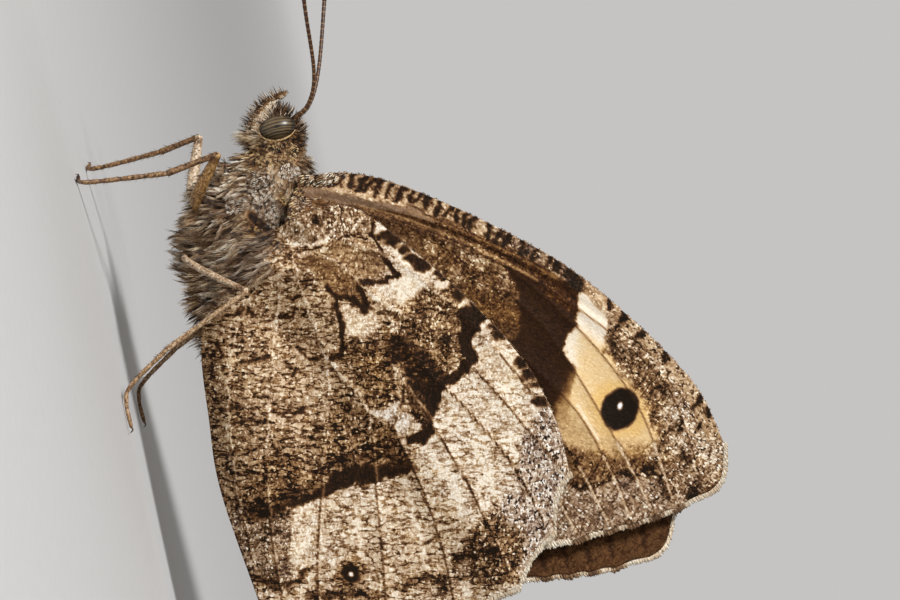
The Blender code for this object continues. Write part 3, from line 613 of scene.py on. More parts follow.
# %% Forewing marks
STRIP_EDGE = ((-0.4, -0.2), (1.2, -0.8), (2.4, -1.3), (3.7, -1.8), (4.9, -2.3), (6.2, -2.8), (8, -3.15),
    (9.8, -3.45), (11.5, -3.8), (13.3, -4), (15.2, -4.15), (17.2, -4.1))
BARS = ((0.3, -1), (0.9, -1.4), (1.4, -1.6), (2, -2), (2.6, -2.2), (3.1, -2.4), (3.6, -2.5), (4.3, -2.75),
    (5, -3), (5.7, -3.2), (6.2, -3.3), (6.7, -3.45), (7.5, -3.6), (8.1, -3.7), (8.7, -3.75), (9.3, -3.85),
    (9.8, -3.9), (10.8, -4.05), (11.5, -4.1), (12.1, -4.2), (13.2, -4.3), (14.1, -4.4), (15, -4.5),
    (15.6, -4.5), (16.3, -4.5), (19.7, -4.2), (20.9, -3.9), (22.4, -4), (24.3, -3.4), (27.5, -1.9),
    (28.5, -2.1))
MAUVE_STRIPE = ((-0.5, -0.1), (0.7, -0.65), (1.8, -1.05), (3.1, -1.55), (4.7, -2.15), (6.1, -2.65),
    (7.9, -2.95), (8, -2.7), (6.5, -2.35), (4.9, -1.65), (3.4, -1), (2.1, -0.45), (0.9, 0.05), (-0.3, 0.45))
BAND_INNER = ((13.1, -2.8), (13.8, -2.4), (14.4, -1.9), (15.4, -0.5), (16.1, 0.5), (15.3, 1.5), (14.8, 3.4),
    (15.4, 5.6), (14.2, 8.2))
BAND_OUTER = ((17.5, -4.2), (17.7, -3.9), (18.2, -2.9), (18.6, -2.2), (18.5, -1.6), (18.7, -0.9), (19, -0.3),
    (19.5, 0), (20.2, 0.3), (20.5, 1), (20.5, 1.6), (20.8, 2.1), (21.3, 2.9), (21.5, 3.5), (21.3, 4),
    (20.8, 4.4), (19.2, 5.6), (18.4, 7.4), (17.4, 9.4))
PALE_RIGHT = ((17.8, -4.1), (19.2, -3.9), (20.2, -3.7), (20.6, -2.6), (20.8, -1.6), (21.7, -1.3),
    (23.3, -0.7), (24.5, -0.3), (25.9, 0.7), (26.8, 1.6))
OCHRE_LOWER = ((26.6, 1.3), (25.8, 2.3), (24.6, 3.5), (23.2, 4.1), (21.6, 4.5))
EYE_SPOT = (23.7, 0.9)
ZIGZAG = ((21.6, 6.9), (22.6, 6.8), (23.6, 6.5), (24.2, 6.3), (24.8, 5.9), (25.3, 5.3), (25.4, 4.5),
    (26, 4.2), (26.7, 4), (27.2, 3.2), (28.2, 3.1))


def fore_vein(label):
    return FOREWING["veins"][label][2]


def forewing_under(places, seed):
    """The marks of the side that shows at rest."""
    paint = Paint(places, seed, tone=0.29, warmth=0.5, flecks=0.42, strokes=0.15, pepper=0)
    p, q = places.T
    paint.lay(smoothstep(12.5, 8.5, p) * 0.6, tone=0.36, warmth=0.35)
    paint.lay(smoothstep(6.0, 10.0, p) * smoothstep(15.5, 13.0, p), flecks=0.75)
    paint.patch(((9.5, -2), (10.2, -2.7), (11.7, -2.8), (13.3, -2.8), (14.2, -2.4), (13.3, -1.6),
        (11.7, -1.5), (10.2, -1.4)), 0.3, 0.8, wander=0.3, tone=0.5, warmth=0.25, flecks=1)
    paint.patch(((10.9, 0.3), (11.9, -0.2), (13.5, -0.8), (15.2, -1.2), (15.8, -0.2), (14.6, 0.6),
        (12.9, 0.9)), 0.4, 0.8, wander=0.2, tone=0.38, warmth=0.85, flecks=0.45)
    paint.line(((8.6, -1.9), (10.5, -1.3), (13, -0.3)), (0.5, 0.2), 0.2, 0.6, tone=0.2, warmth=0.6)
    for centre in ((10.2, -2.2), (13.3, -1.8), (11.5, -2.1), (9.2, -2.1), (12.4, -0.9), (8.4, -1.4),
            (10.8, -0.7)):
        paint.spot(centre, (0.5, 0.28), 30, 0.2, 0.7, tone=0.6, warmth=0.15, flecks=0.8)
    for centre in ((11.2, -1.5), (9.6, -1.5), (12.6, -1.9), (13.2, -0.4), (7.6, -2.1)):
        paint.spot(centre, (0.7, 0.25), 20, 0.2, 0.7, tone=0.25, warmth=0.6)
    paint.patch(BAND_INNER + BAND_OUTER[::-1], 0.1, tone=0.075, warmth=0.6, flecks=0.09, strokes=0)
    paint.patch(((14.9, -3.5), (17.4, -3.8), (18.1, -3), (17.6, -2.4), (15.6, -2.6)), 0.3, 0.8, tone=0.19,
        warmth=0.9, flecks=0.55)
    beyond = BAND_OUTER + ((21, 11.2), (23, 11.9), (27.2, 7.6), (30.5, 3.4), (31.6, 0.5), (30.3, -1.4),
        (27, -3.6), (22, -5), (17.6, -5.2))
    paint.patch(beyond, 0.06, tone=0.56, warmth=0.1, flecks=1, strokes=0.45, pepper=0.25)
    pale = BAND_OUTER[:16] + OCHRE_LOWER[::-1] + PALE_RIGHT[::-1]
    paint.patch(pale, 0.12, tone=0.9, warmth=0.08, flecks=0.06, strokes=0, pepper=0)
    paint.patch(((18.9, -2), (21, -2), (22.4, -1.2), (26.8, 0.8), (26.6, 2.6), (24.2, 4.5), (20.6, 4.4),
        (20, 0)), 0.5, 0.75, warmth=0.85, tone=0.8, flecks=0.08, pepper=0)
    paint.patch(((20.4, 2.6), (23.6, 2.9), (26, 2), (26.9, 2.9), (24.6, 4.5), (21.2, 5)), 0.7, 0.75,
        tone=0.66, warmth=0.65, flecks=0.25)
    paint.spot(EYE_SPOT, (1.9, 1.75), 0, 0.5, 0.8, warmth=1, tone=0.79, flecks=0.05, pepper=0)
    paint.patch(((21.2, -1.8), (22.6, -1.5), (25.2, -0.2), (27, 1.4), (27.6, 2.8), (28.6, 1.8), (26.4, -0.8),
        (23.4, -2.4)), 0.3, 0.8, tone=0.44, warmth=0.4, flecks=0.95, pepper=0.1)
    paint.patch(((20.8, 4.7), (22.9, 4.5), (25.2, 3.5), (26.6, 2.4), (27.4, 3), (25.5, 4.6), (24.6, 6.1),
        (22.4, 7), (20, 7.2)), 0.35, 0.9, tone=0.38, warmth=0.55, flecks=0.5, pepper=0)
    paint.patch(((20.4, 7), (23.6, 6.6), (25.2, 5.6), (25.6, 4.6), (28.2, 3.2), (31, 3.2), (27.5, 8.4),
        (23.2, 12.2), (20, 11)), 0.25, 0.9, tone=0.57, warmth=-0.15, flecks=0.65, strokes=0.4)
    paint.line(ZIGZAG, (0.45, 0.25), 0.12, 0.9, tone=0.15, warmth=0.3)
    paint.spot((27.2, 3.1), (0.45, 0.35), 0, 0.15, tone=0.1)
    paint.patch(((20.4, -5), (21.4, -3.6), (24.6, -2.7), (27.4, -0.9), (29.6, 1.6), (31.6, 0.4), (29, -2.6),
        (24, -4.8)), 0.3, 0.8, tone=0.62, flecks=1, pepper=0.85, warmth=-0.05)
    paint.patch(((23.3, -3), (25.7, -3.7), (28.5, -2.7), (30.5, -0.8), (30.6, 0.7), (29.4, 1.9), (27.6, 1.5),
        (25.8, -0.6), (25.9, -1.8)), 0.5, 0.8, wander=0.4, tone=0.74, warmth=0, flecks=1, pepper=0.45,
        strokes=0.5)
    for centre, halves in (((20.7, -3.6), (0.5, 0.3)), ((21.9, -3.7), (0.8, 0.35)), ((24.9, -3), (0.8, 0.4)),
            ((23.2, -3.4), (0.3, 0.3)), ((28.4, -1), (0.5, 0.4)), ((21.5, -2), (0.5, 0.25)), ((25.4, -1.6),
            (0.4, 0.3)), ((28.9, 1.2), (0.5, 0.4)), ((30.2, 2.9), (0.5, 0.4)), ((27.4, -0.1), (0.3, 0.3)),
            ((29, 3.6), (0.6, 0.35))):
        paint.spot(centre, halves, 25, 0.2, 0.8, tone=0.12, flecks=0.5, warmth=0)
    paint.spot(EYE_SPOT, (1.12, 1.36), 0, 0.1, ragged=0.4, tone=0, warmth=0, flecks=0.02, strokes=0)
    paint.spot((23.6, 0.72), (0.15, 0.23), -15, 0.07, ragged=0.0, tone=1.1, warmth=-1)
    edge = FOREWING["costa"]
    paint.patch(STRIP_EDGE + ((20, -3.4), (22, -3.4), (24, -2.9), (27, -1.8), (29.4, -0.3)) + ((30.6, -1.2),
        (27.1, -3.4), (22, -4.8), (16, -5.4), (10, -5), (4.7, -4), (1.5, -2.9), (-0.8, -1.2)), 0.07, 1.0,
        tone=0.64, warmth=0.2, flecks=0.5, strokes=0.1)
    paint.lay(smoothstep(9.0, 13.0, p) * smoothstep(17.6, 16.8, p) * smoothstep(-3.9, -4.1, q), tone=0.46,
        warmth=-0.1, flecks=0.9)
    for number, (bp, bq) in enumerate(BARS):
        margin = np.interp(bp, *np.array(edge).T)
        slant = 0.05 + 0.15 * math.sin(number * 2.3)
        thick = 0.32 + 0.18 * (math.sin(number * 1.7 + 1.0) + 1.0) / 2
        paint.line(((bp - slant, margin - 0.3), (bp, bq), (bp + slant, bq + 0.34)), (thick, thick * 0.7),
            0.08, 0.97, tone=0.04, warmth=0.2, flecks=0.1)
        paint.spot((bp + 0.3, bq + 0.1 * math.sin(number)), (0.12, 0.09), 20, 0.07, 0.8, tone=0.1)
    paint.spot((17, -4.3), (0.85, 0.5), 10, 0.15, tone=0.07, warmth=0, flecks=0.3)
    paint.patch(MAUVE_STRIPE, 0.08, tone=0.44, warmth=-0.18, flecks=0.12, pepper=0, strokes=0)
    streaks = ( (((4.9, -1.7), (7.4, -2.5), (10, -3), (12.8, -3.35), (15.6, -3.55), (17.6, -3.5)), 0.16, 0.12,
        0.9), (((3, -1), (5.6, -1.8), (7.9, -2.3), (10.3, -2.75), (13.1, -3), (15.1, -3.1)), 0.13, 0.6, 0.6),
        (((5, -1.4), (7.6, -2), (10.3, -2.5), (13.1, -2.75), (15.1, -2.9)), 0.12, 0.14, 0.8), (((6, -2.45),
        (8, -2.9), (10.4, -3.3), (13.4, -3.75), (16, -3.85)), 0.1, 0.52, 0.9), (((7, -2.8), (9.6, -3.25),
        (12.4, -3.7), (15.4, -3.95)), 0.09, 0.1, 0.6), )
    for course, width, shade, warm in streaks:
        paint.line(course, (width * 0.6, width * 1.4), 0.06, 0.8, True, tone=shade, warmth=warm, flecks=0.2)
    for label in ("media_1", "media_2", "media_3", "cubitus", "cubitus_2", "anal", "radius"):
        course = fore_vein(label)
        paint.line(course, 0.09, 0.06, 0.7, True, tone=0.12, warmth=0.3, flecks=0.1, pepper=0)
    for label, last in (("media_1", 8), ("media_2", 10), ("media_3", 9), ("cubitus", 9), ("cubitus_2", 9)):
        outer = spline(fore_vein(label), 0.5)[-last:]
        paint.line(outer + (0, -0.14), 0.1, 0.06, 0.6, True, tone=0.22, warmth=0.2, flecks=0.2)
        paint.line(outer, 0.14, 0.07, 0.9, True, tone=0.88, warmth=0.1, flecks=0.3, pepper=0)
    paint.line(((21.4, 2.1), (23.6, 3.2)), 0.16, 0.08, 0.6, True, tone=1, warmth=0.2)
    return paint.layers


# %% [markdown]
# ### Underside of the hindwing
# This is the side that hides the insect: a white-grey outer half with brown flecks, an inner
# half of tan crossed by short dark strokes, and between them a near-black toothed band. Toward the hinge
# there are three black zigzag lines round two brown cells, and along the leading edge black and cream spots.

# %% Hindwing marks
HIND_BAND = ((8.7, -7.1), (9.7, -7.5), (10.5, -7.4), (10.9, -6.6), (11.4, -5.8), (12.2, -5.7), (12.6, -5.2),
    (12.7, -3.9), (12.8, -2.7), (13.5, -2), (13.9, -1.2), (14.7, -1), (14.9, -0.1), (14.3, 0.7), (13.8, 0.7),
    (13.8, 0.1), (14, -0.5), (13.5, -0.9), (12.8, -0.6), (11.9, -0.7), (11.3, -1), (11, -1.6), (11.6, -2.4),
    (12, -3.3), (12, -4.3), (11.7, -5.1), (10.9, -5.1), (10.2, -5.9), (9.3, -6.2))
LOWER_BAND = ((12.8, 10.3), (13.3, 7.8), (13.5, 6.8), (13.1, 5.5), (13.3, 4.6), (14.1, 3.3), (14.8, 2.2),
    (15.2, 1.2), (15.9, 1.2), (15.5, 2.7), (15.1, 3.9), (14.3, 5.3), (14.3, 6.8), (13.7, 8), (13.4, 9.2),
    (13.4, 10.4))
ZIGZAG_LINES = (((1.6, -5), (2.5, -4.6), (3.9, -4.4), (5.2, -4.5), (4.9, -3.4), (4.3, -2.3)), ((3.3, -0.4),
    (4.1, -0.6), (4.7, -1.2), (5.5, -1.5), (6.1, -1.6), (5.4, -1.9), (4.4, -2.1)), ((3.4, -0.5), (4.2, -0.5),
    (5.1, -0.1), (6.1, 0.2), (7.2, 1.1), (7.3, 1.7)))
COSTAL_BLACK = ((2.7, -5.3), (3.4, -5.6), (4.2, -5.8), (4.9, -5.9), (5.5, -6.2), (6.5, -6.7), (8.4, -7.1),
    (11.9, -7.8), (11.2, -7.75), (14, -7.9), (14.9, -7.9), (15.6, -7.8), (16.6, -7.5))
COSTAL_CREAM = ((3.7, -5.6), (5.9, -6.3), (7.3, -6.8), (8.9, -7.1), (10.8, -7.7), (12, -7.9))
WAVES = (((15.9, 13.4), (16.6, 12.8), (17.3, 12.1), (17.4, 11), (17.2, 10.4), (17.6, 9.9)), ((18.6, 11.2),
    (19.2, 10.4), (19.9, 9.2), (20.8, 8), (21.2, 7.5)), ((21.4, 6.2), (21.5, 5.3), (21.9, 4.5), (22.7, 3.8)),
    ((21.8, 2.3), (22, 1.6), (22.6, 0.8), (22.8, -0.1)))
CORE = ((8.1, -1.5), (8.7, -2.6), (10, -3.1), (11.4, -3.4), (12.2, -3), (12.1, -2.3), (11.1, -1.3),
    (10, -1.4), (9.1, -1.1))
LOBE = ((-1.4, -0.8), (-1.1, -2.4), (-0.7, -3.7), (0.1, -4.8), (1, -5.2), (1.7, -5.1), (2.1, -4.4),
    (1.5, -3.1), (1.1, -1.9), (0.9, -0.6), (0.2, 0), (-0.8, 0.2))
INNER_HALF = ((-1.6, -1.2), (1, -1.6), (3, -2.6), (7.1, -3.4), (8.4, -5.9), (9.7, -6.1), (11.7, -5),
    (12, -3.1), (11.1, -1.3), (13.4, 0), (14, 0.9), (15.6, 0.9), (14.4, 3.1), (13.3, 5.7), (12.9, 9.3),
    (12.5, 11), (10, 13), (2, 9), (-2, 5))


def hindwing_under(places, seed):
    """The marks of the side that shows at rest."""
    paint = Paint(places, seed, tone=0.87, warmth=0, flecks=0.5, strokes=1, pepper=0)
    p, q = places.T
    paint.lay(smoothstep(3.0, 7.0, q), tone=0.78, warmth=0.05)
    paint.patch(INNER_HALF, 0.4, tone=0.64, warmth=0.2, flecks=0.6, strokes=0.95)
    paint.lay(smoothstep(3.0, 9.5, q) * smoothstep(14.5, 12.5, p), tone=0.56, warmth=0.22, strokes=1)
    paint.patch(((3.9, 3), (7, 2.2), (11, 3.6), (11.6, 6.4), (8, 7.5), (5, 6)), 1.2, 0.7, tone=0.72,
        warmth=0.12, flecks=0.5)
    paint.patch(((11, 12.1), (13.4, 9.2), (15.7, 11), (17.6, 11.3), (17.2, 15), (13.9, 15.5)), 0.5, 0.9,
        wander=0.4, tone=0.55, warmth=-0.1, flecks=0.95, strokes=0.7, pepper=0.2)
    paint.patch(((13.1, 9), (14, 6.8), (17.7, 9), (17.1, 11.2)), 0.3, 0.8, wander=0.3, tone=0.84, warmth=0.05,
        flecks=0.65, strokes=0.5)
    paint.patch(LOBE, 0.18, tone=0.57, warmth=0.08, flecks=1, strokes=0.3, pepper=0.15)
    paint.patch(((1.1, -1.9), (1.6, -3.3), (2.5, -4.3), (3.6, -4.4), (4.6, -4.1), (4.4, -2.7), (3.2, -2.3),
        (2.1, -1.8)), 0.25, 0.9, tone=0.47, warmth=0.35, flecks=0.65, strokes=0.2)
    paint.patch(((0.4, 0.3), (1.9, -1.5), (3.5, -2.1), (4.5, -2.2), (5.6, -1.7), (4.2, -0.8), (3.2, -0.5),
        (1.9, -0.3)), 0.25, 0.9, tone=0.43, warmth=0.5, flecks=0.55, strokes=0.2)
    brown = dict(tone=0.45, warmth=0.32, flecks=1, strokes=0.6)
    paint.patch(((6.7, -4.7), (6.9, -6), (7.7, -6.9), (8.9, -7.1), (10.1, -5.6), (11.5, -5.1), (12, -3.1),
        (11.1, -1.6), (8.8, -1.2), (7.4, -1.7), (6.5, -2.7), (6.9, -3.8)), 0.3, 0.95, wander=0.3, **brown)
    paint.patch(((4.7, -0.6), (6.4, 0.1), (7.4, -0.6), (7.2, -1.9), (6.3, -2.1), (5.8, -1.3)), 0.2, 0.9,
        wander=0.2, tone=0.82, warmth=0.1, flecks=0.6, strokes=0.3)
    paint.patch(((5, -2.8), (5.4, -4.3), (5.2, -4.9), (5.4, -5.4), (6.1, -5.9), (6.9, -6), (7.1, -5.1),
        (6.7, -3.9), (6, -3.1)), 0.2, 0.95, wander=0.15, tone=0.88, warmth=0.05, flecks=0.55, strokes=0.2)
    paint.patch(((1.9, -5.1), (2.6, -5.9), (4.5, -6.6), (6.4, -7), (6.3, -6), (5.6, -5.4), (4.6, -5.1),
        (3, -4.9)), 0.12, 0.95, tone=0.9, warmth=0, flecks=0.4, strokes=0.1)
    paint.patch(((6.7, 0.6), (7.7, -0.9), (9.1, -1.1), (10.9, -0.9), (11.9, -0.2), (11.8, 0.6), (11.2, 1.6),
        (9.4, 1.5), (8.4, 1.2)), 0.3, 0.9, wander=0.3, tone=0.41, warmth=0.4, flecks=0.9, strokes=0.9)
    paint.patch(((8.2, 1.2), (10.8, 2.2), (12.4, 1.8), (15.3, 1.2), (14, 3.4), (13, 4.6), (13, 6.6),
        (11.6, 7), (10.2, 4.4)), 0.6, 0.8, wander=0.5, tone=0.42, warmth=0.35, flecks=0.9, strokes=1)
    paint.patch(((10, 7.4), (12.8, 7), (12.9, 11), (10.8, 11.4)), 0.7, 0.85, wander=0.4, tone=0.38,
        warmth=0.35, flecks=0.9, strokes=1)
    paint.patch(((12, 1.2), (12.9, 0.8), (14, 1.2), (15.6, 1.2), (15.2, 2.4), (13.6, 3), (12.6, 2.4)), 0.2,
        0.7, wander=0.2, tone=0.32, warmth=0.55, flecks=0.7)
    whitest = ((12.8, -5.2), (14.2, -6.3), (15.9, -6.7), (17.6, -6.3), (17.4, -4.6), (16.2, -3.9),
        (14.6, -2.2), (13.3, -2.5))
    paint.patch(whitest, 0.4, tone=0.85, warmth=0, flecks=0.6, strokes=0.7)
    paint.patch(((11.6, -5.6), (12.2, -7.7), (14, -7.6), (15.4, -6.8), (13.4, -5.6)), 0.3, 0.9, tone=0.82,
        warmth=0.1, flecks=0.55, strokes=0.4)
    paint.patch(((15.5, 1.4), (17.5, 0.6), (21.4, 1), (22, 4.4), (19, 4.6), (15.6, 3.6)), 0.7, 0.6,
        wander=0.5, tone=0.7, warmth=0.25, strokes=1)
    paint.patch(((18.6, 3.6), (21.6, 3.4), (22.6, 6), (20.4, 9.4), (17.9, 10.4), (17.6, 6)), 0.8, 0.5,
        wander=0.5, tone=0.66, warmth=0.15, strokes=1)
    speckled = dict(tone=0.66, flecks=1, pepper=0.9, warmth=-0.38, strokes=0.2)
    paint.patch(((16.4, -7.9), (18.8, -7.3), (21.4, -6.6), (23, -4.6), (24.2, -2.6), (22.3, -3.2),
        (20.1, -3.4), (18.4, -4.6), (17.6, -6.4)), 0.4, 0.9, wander=0.4, **speckled)
    paint.patch(((20, -2.6), (22.7, -3.6), (24, -3.3), (25, -0.7), (22.6, -0.4)), 0.4, 0.8, wander=0.4,
        **speckled)
    paint.patch(((20.5, -1.6), (22.6, -2), (25.2, -0.3), (24.4, 1.6), (23.2, 2.6), (21.4, 1.4)), 0.4, 0.85,
        wander=0.4, tone=0.36, warmth=0.3, flecks=1, pepper=0.35)
    paint.patch(((21.6, 0.4), (23.8, 1), (23.2, 4.6), (21.8, 4.2)), 0.4, 0.6, wander=0.4, tone=0.48,
        warmth=0.15, flecks=0.9, pepper=0.35)
    black = dict(tone=0.035, warmth=0.35, flecks=0.12, strokes=0, pepper=0)
    paint.patch(((6.2, -6.5), (7.4, -6.6), (9, -6.9), (10.6, -7.1), (10.9, -8.2), (8, -7.9), (6.2, -7.2)),
        0.12, 0.9, wander=0.1, tone=0.13, warmth=0.3, flecks=0.45)
    paint.patch(HIND_BAND, 0.07, **black)
    paint.patch(((11.5, -0.8), (12.4, -1.7), (13.9, -0.9), (13.2, -0.3)), 0.12, 0.9, wander=0.1, tone=0.22,
        warmth=0.3, flecks=0.9)
    paint.patch(LOWER_BAND, 0.1, **black)
    paint.line(((12.5, 11.2), (12.8, 9.4), (13, 7.4)), (0.9, 0.5), 0.4, 0.8, tone=0.15, warmth=0.4,
        flecks=0.4)
    paint.line(((12.8, 6.8), (12.7, 5.2), (13.2, 4), (14.1, 2.5), (14.8, 1.6)), (0.5, 0.9), 0.4, 0.65,
        tone=0.18, warmth=0.4, flecks=0.7)
    for outline in (((11.3, 1.9), (11.6, 0.6), (11.7, -0.3), (12.2, 0.2), (12.6, 0.9), (12.1, 1.3)),
            ((12.7, 0.8), (12.5, 0.3), (12.6, -0.3), (12.9, -0.3), (13.3, 0), (13.6, 0.7), (13.4, 0.9))):
        paint.patch(outline, 0.1, 0.9, tone=0.8, warmth=-0.25, flecks=0.8, strokes=0)
    paint.line(((11, -1.3), (11.6, -0.5), (12.5, 0.5)), 0.14, 0.06, 0.9, **black)
    for course in ZIGZAG_LINES:
        paint.line(course, (0.26, 0.36), 0.07, 0.97, **black)
    margin = np.array(HINDWING["costa"])
    for sp, sq in COSTAL_CREAM:
        paint.spot((sp, np.interp(sp, *margin.T) + 0.35), (0.26, 0.34), 20, 0.12, 0.9, tone=0.92, warmth=0.05,
            flecks=0.3, strokes=0)
    for number, (sp, sq) in enumerate(COSTAL_BLACK):
        size = 0.3 + 0.1 * math.sin(number * 2.1)
        paint.spot((sp, sq + 0.1), (size, size + 0.16), 25, 0.12, 0.97, **black)
    paint.spot((-0.4, -2.1), (0.38, 0.3), 0, 0.18, 0.9, tone=0.1, warmth=0.1, flecks=0.5)
    paint.spot((0.1, -2.9), (0.25, 0.2), 0, 0.15, 0.6, tone=0.35, warmth=0.7)
    for course in (((-0.2, -3.9), (0.5, -3.6)), ((0, -4.4), (0.6, -4.1)), ((0.9, -4.6), (1.3, -4.1))):
        paint.line(course, 0.12, 0.07, 0.8, tone=0.15, warmth=0.2)
    paint.line(((0.4, 0.2), (1, -0.9), (1.2, -2), (1.6, -3.4), (2.2, -4.2)), 0.12, 0.06, 0.85, tone=0.2,
        warmth=0.45)
    paint.line(((0.1, 0), (0.7, -1), (0.9, -2.2)), 0.22, 0.12, 0.8, tone=0.98, warmth=0, flecks=0.2)
    for course in (((1.3, 5.9), (1.5, 5.2), (2.1, 4.2)), ((2.9, 3.3), (3.5, 2.7), (3.6, 1.8)), ((5.3, 3.2),
            (6.3, 3.1), (6.8, 2.4)), ((2, 7.6), (2.7, 7.1), (3.4, 7.3)), ((2.6, 2), (2.9, 1.3)), ((4.4, 6.6),
            (5, 5)), ((8.3, 6.4), (8.9, 4.9)), ((7.2, 9.2), (7.9, 7.6)), ((6.4, 4.9), (6.6, 4)), ((5.9, 9.4),
            (6.6, 8.1))):
        paint.line(course, (0.16, 0.24), 0.08, 0.9, **black)
    paint.spot((19, 8.3), (0.85, 0.95), 0, 0.3, 0.7, tone=0.42, warmth=0.5, flecks=0.3)
    paint.spot((19, 8.3), (0.6, 0.5), 0, 0.08, ragged=0.5, tone=0, warmth=0.2, flecks=0, strokes=0)
    paint.spot((19, 8.3), (0.15, 0.14), 0, 0.07, ragged=0.0, tone=1.1, warmth=-0.4)
    for course in WAVES:
        paint.line(course, (0.55, 0.45), 0.25, 0.75, tone=0.35, warmth=0.35, flecks=0.8)
        paint.line(course, (0.22, 0.18), 0.12, 0.85, tone=0.1, warmth=0.3, flecks=0.3)
    for label, (_, _, course) in HINDWING["veins"].items():
        course = spline(course, 0.4)
        pale = (course[:, 0] < 12.9) & ((course[:, 1] > -1.4) | (course[:, 0] < 8.2))
        inner, outer = course[pale], course[course[:, 0] > 12.4]
        if label != "humeral" and len(inner) > 2:
            paint.line(inner, 0.14, 0.09, 0.7, tone=0.84, warmth=0, flecks=0.9, strokes=0.1)
        if label != "humeral" and len(outer) > 2:
            # Painted highlight: a pale line along one flank of each outer vein, as light on its ridge; the
            # dark line after it is the vein's own colour.
            paint.line(outer + (0.0, -0.17), 0.12, 0.08, 0.5, True, tone=0.88, warmth=0.05, flecks=0.3)
            paint.line(outer, 0.09, 0.06, 0.9, True, tone=0.08, warmth=0.3, flecks=0.2, strokes=0)
    paint.patch(CORE, 0.28, 0.92, wander=0.25, tone=0.12, warmth=0.5, flecks=0.55)
    for course in (((15.8, -0.1), (18.1, -0.1), (20.7, 0.6)), ((15.9, 2.2), (18.4, 3.1), (21.4, 4.2)),
            ((15.6, 5.6), (18.6, 7.2)), ((5.2, -2.5), (7.3, -3.4)), ((16.4, -2.4), (18.6, -2.2),
            (20.3, -1.9)), ((17.2, -4.8), (18.6, -5))):
        paint.line(course, 0.2, 0.14, 0.85, tone=0.95, warmth=0.05, flecks=0.3, strokes=0.1)
    return paint.layers


# %% [markdown]
# ### Upper sides
# The upper sides are pressed together at rest, and only a strip of the far forewing's shows. They are dark
# brown, with the pale broken band and eye-spots that the kind has in flight.

# %% Marks of the upper sides
def upper_side(places, seed, wing):
    """Dark brown, with a pale band inside the margin and eye-spots where the kind has them."""
    paint = Paint(places, seed, tone=0.27, warmth=0.50, flecks=0.15, strokes=0.10, pepper=0.0)
    outer = spline(wing["outer"], 0.3)
    away, _ = nearest(paint.ragged, outer)
    far = 6.3 if wing is FOREWING else 6.8
    band = smoothstep(2.3, 2.9, away) * smoothstep(far + 0.8, far - 0.6, away)
    paint.lay(band * 0.8, tone=0.74, warmth=0.35, flecks=0.3)
    paint.lay(smoothstep(1.9, 2.3, away) * smoothstep(2.9, 2.4, away) * 0.6, tone=0.12)
    spots = ((EYE_SPOT, 1.1), ((24.0, 7.0), 0.8)) if wing is FOREWING else (((18.8, 8.3), 0.6),)
    for centre, size in spots:
        paint.spot(centre, (size, size * 1.15), 0, 0.1, tone=0.03, flecks=0.03)
        paint.spot(centre, (0.15, 0.2), 0, 0.05, tone=1.0)
    for _, _, course in wing["veins"].values():
        paint.line(course, 0.28, 0.12, 0.6, True, tone=0.12, warmth=0.2)
    return paint.layers


print("marks written for four surfaces")

# %% [markdown]
# ## The finish of scaled wings
# Each scale is about 0.15 mm long and two thirds as wide, and lies along the wing like a roof tile. A
# stretched Voronoi pattern gives one random number to each scale and a height for its raised edge. Its
# coordinates run along and across the wing, so the rows lie as they do on it. Tone then goes through a ramp
# of the browns of the kind: a plain one, an ochre one for warmth above nought, and a mauve-grey one below.

# %% Scale finish
SCALE_LENGTH, SCALE_WIDTH = 0.15, 0.105
BROWNS = [(0.0, (0.010, 0.006, 0.003)), (0.18, (0.042, 0.019, 0.008)), (0.38, (0.155, 0.078, 0.036)),
          (0.56, (0.350, 0.222, 0.122)), (0.76, (0.640, 0.505, 0.365)), (0.95, (0.890, 0.815, 0.690))]
OCHRES = [(0.0, (0.012, 0.005, 0.002)), (0.20, (0.058, 0.019, 0.005)), (0.42, (0.200, 0.088, 0.022)),
          (0.62, (0.440, 0.240, 0.070)), (0.82, (0.780, 0.500, 0.170)), (0.98, (0.930, 0.760, 0.400))]
MAUVES = [(0.0, (0.012, 0.010, 0.011)), (0.20, (0.048, 0.032, 0.028)), (0.42, (0.185, 0.120, 0.096)),
          (0.60, (0.360, 0.290, 0.265)), (0.80, (0.640, 0.610, 0.600)), (0.97, (0.900, 0.920, 0.960))]

def tinted(graph, tone, warmth):
    """A tone between black and cream as a brown, warmer toward 1 and greyer toward -1."""
    plain = graph.ramp(tone, BROWNS)
    warm = graph.mix(warmth.kept(), plain, graph.ramp(tone, OCHRES))
    return graph.mix((warmth * -1.0).kept(), warm, graph.ramp(tone, MAUVES))


wing_finish, graph, shader = material("Wing scales", Roughness=0.62, Specular_IOR_Level=0.08)
tone, warmth, flecks = graph.parts("paint")
strokes, pepper, _ = graph.parts("speckle")
along, across, seed = graph.parts("lie")


def wing_noise(length, width, shift, detail=2.0, roughness=0.5):
    """Noise whose blotches are about this long along the wing and this wide across it, in mm."""
    where = graph.vector(along * (1 / length), across * (1 / width), seed + shift)
    return graph.add("ShaderNodeTexNoise", {"noise_dimensions": "3D"},
                     {"Vector": where, "Scale": 1.0, "Detail": detail, "Roughness": roughness})["Fac"]


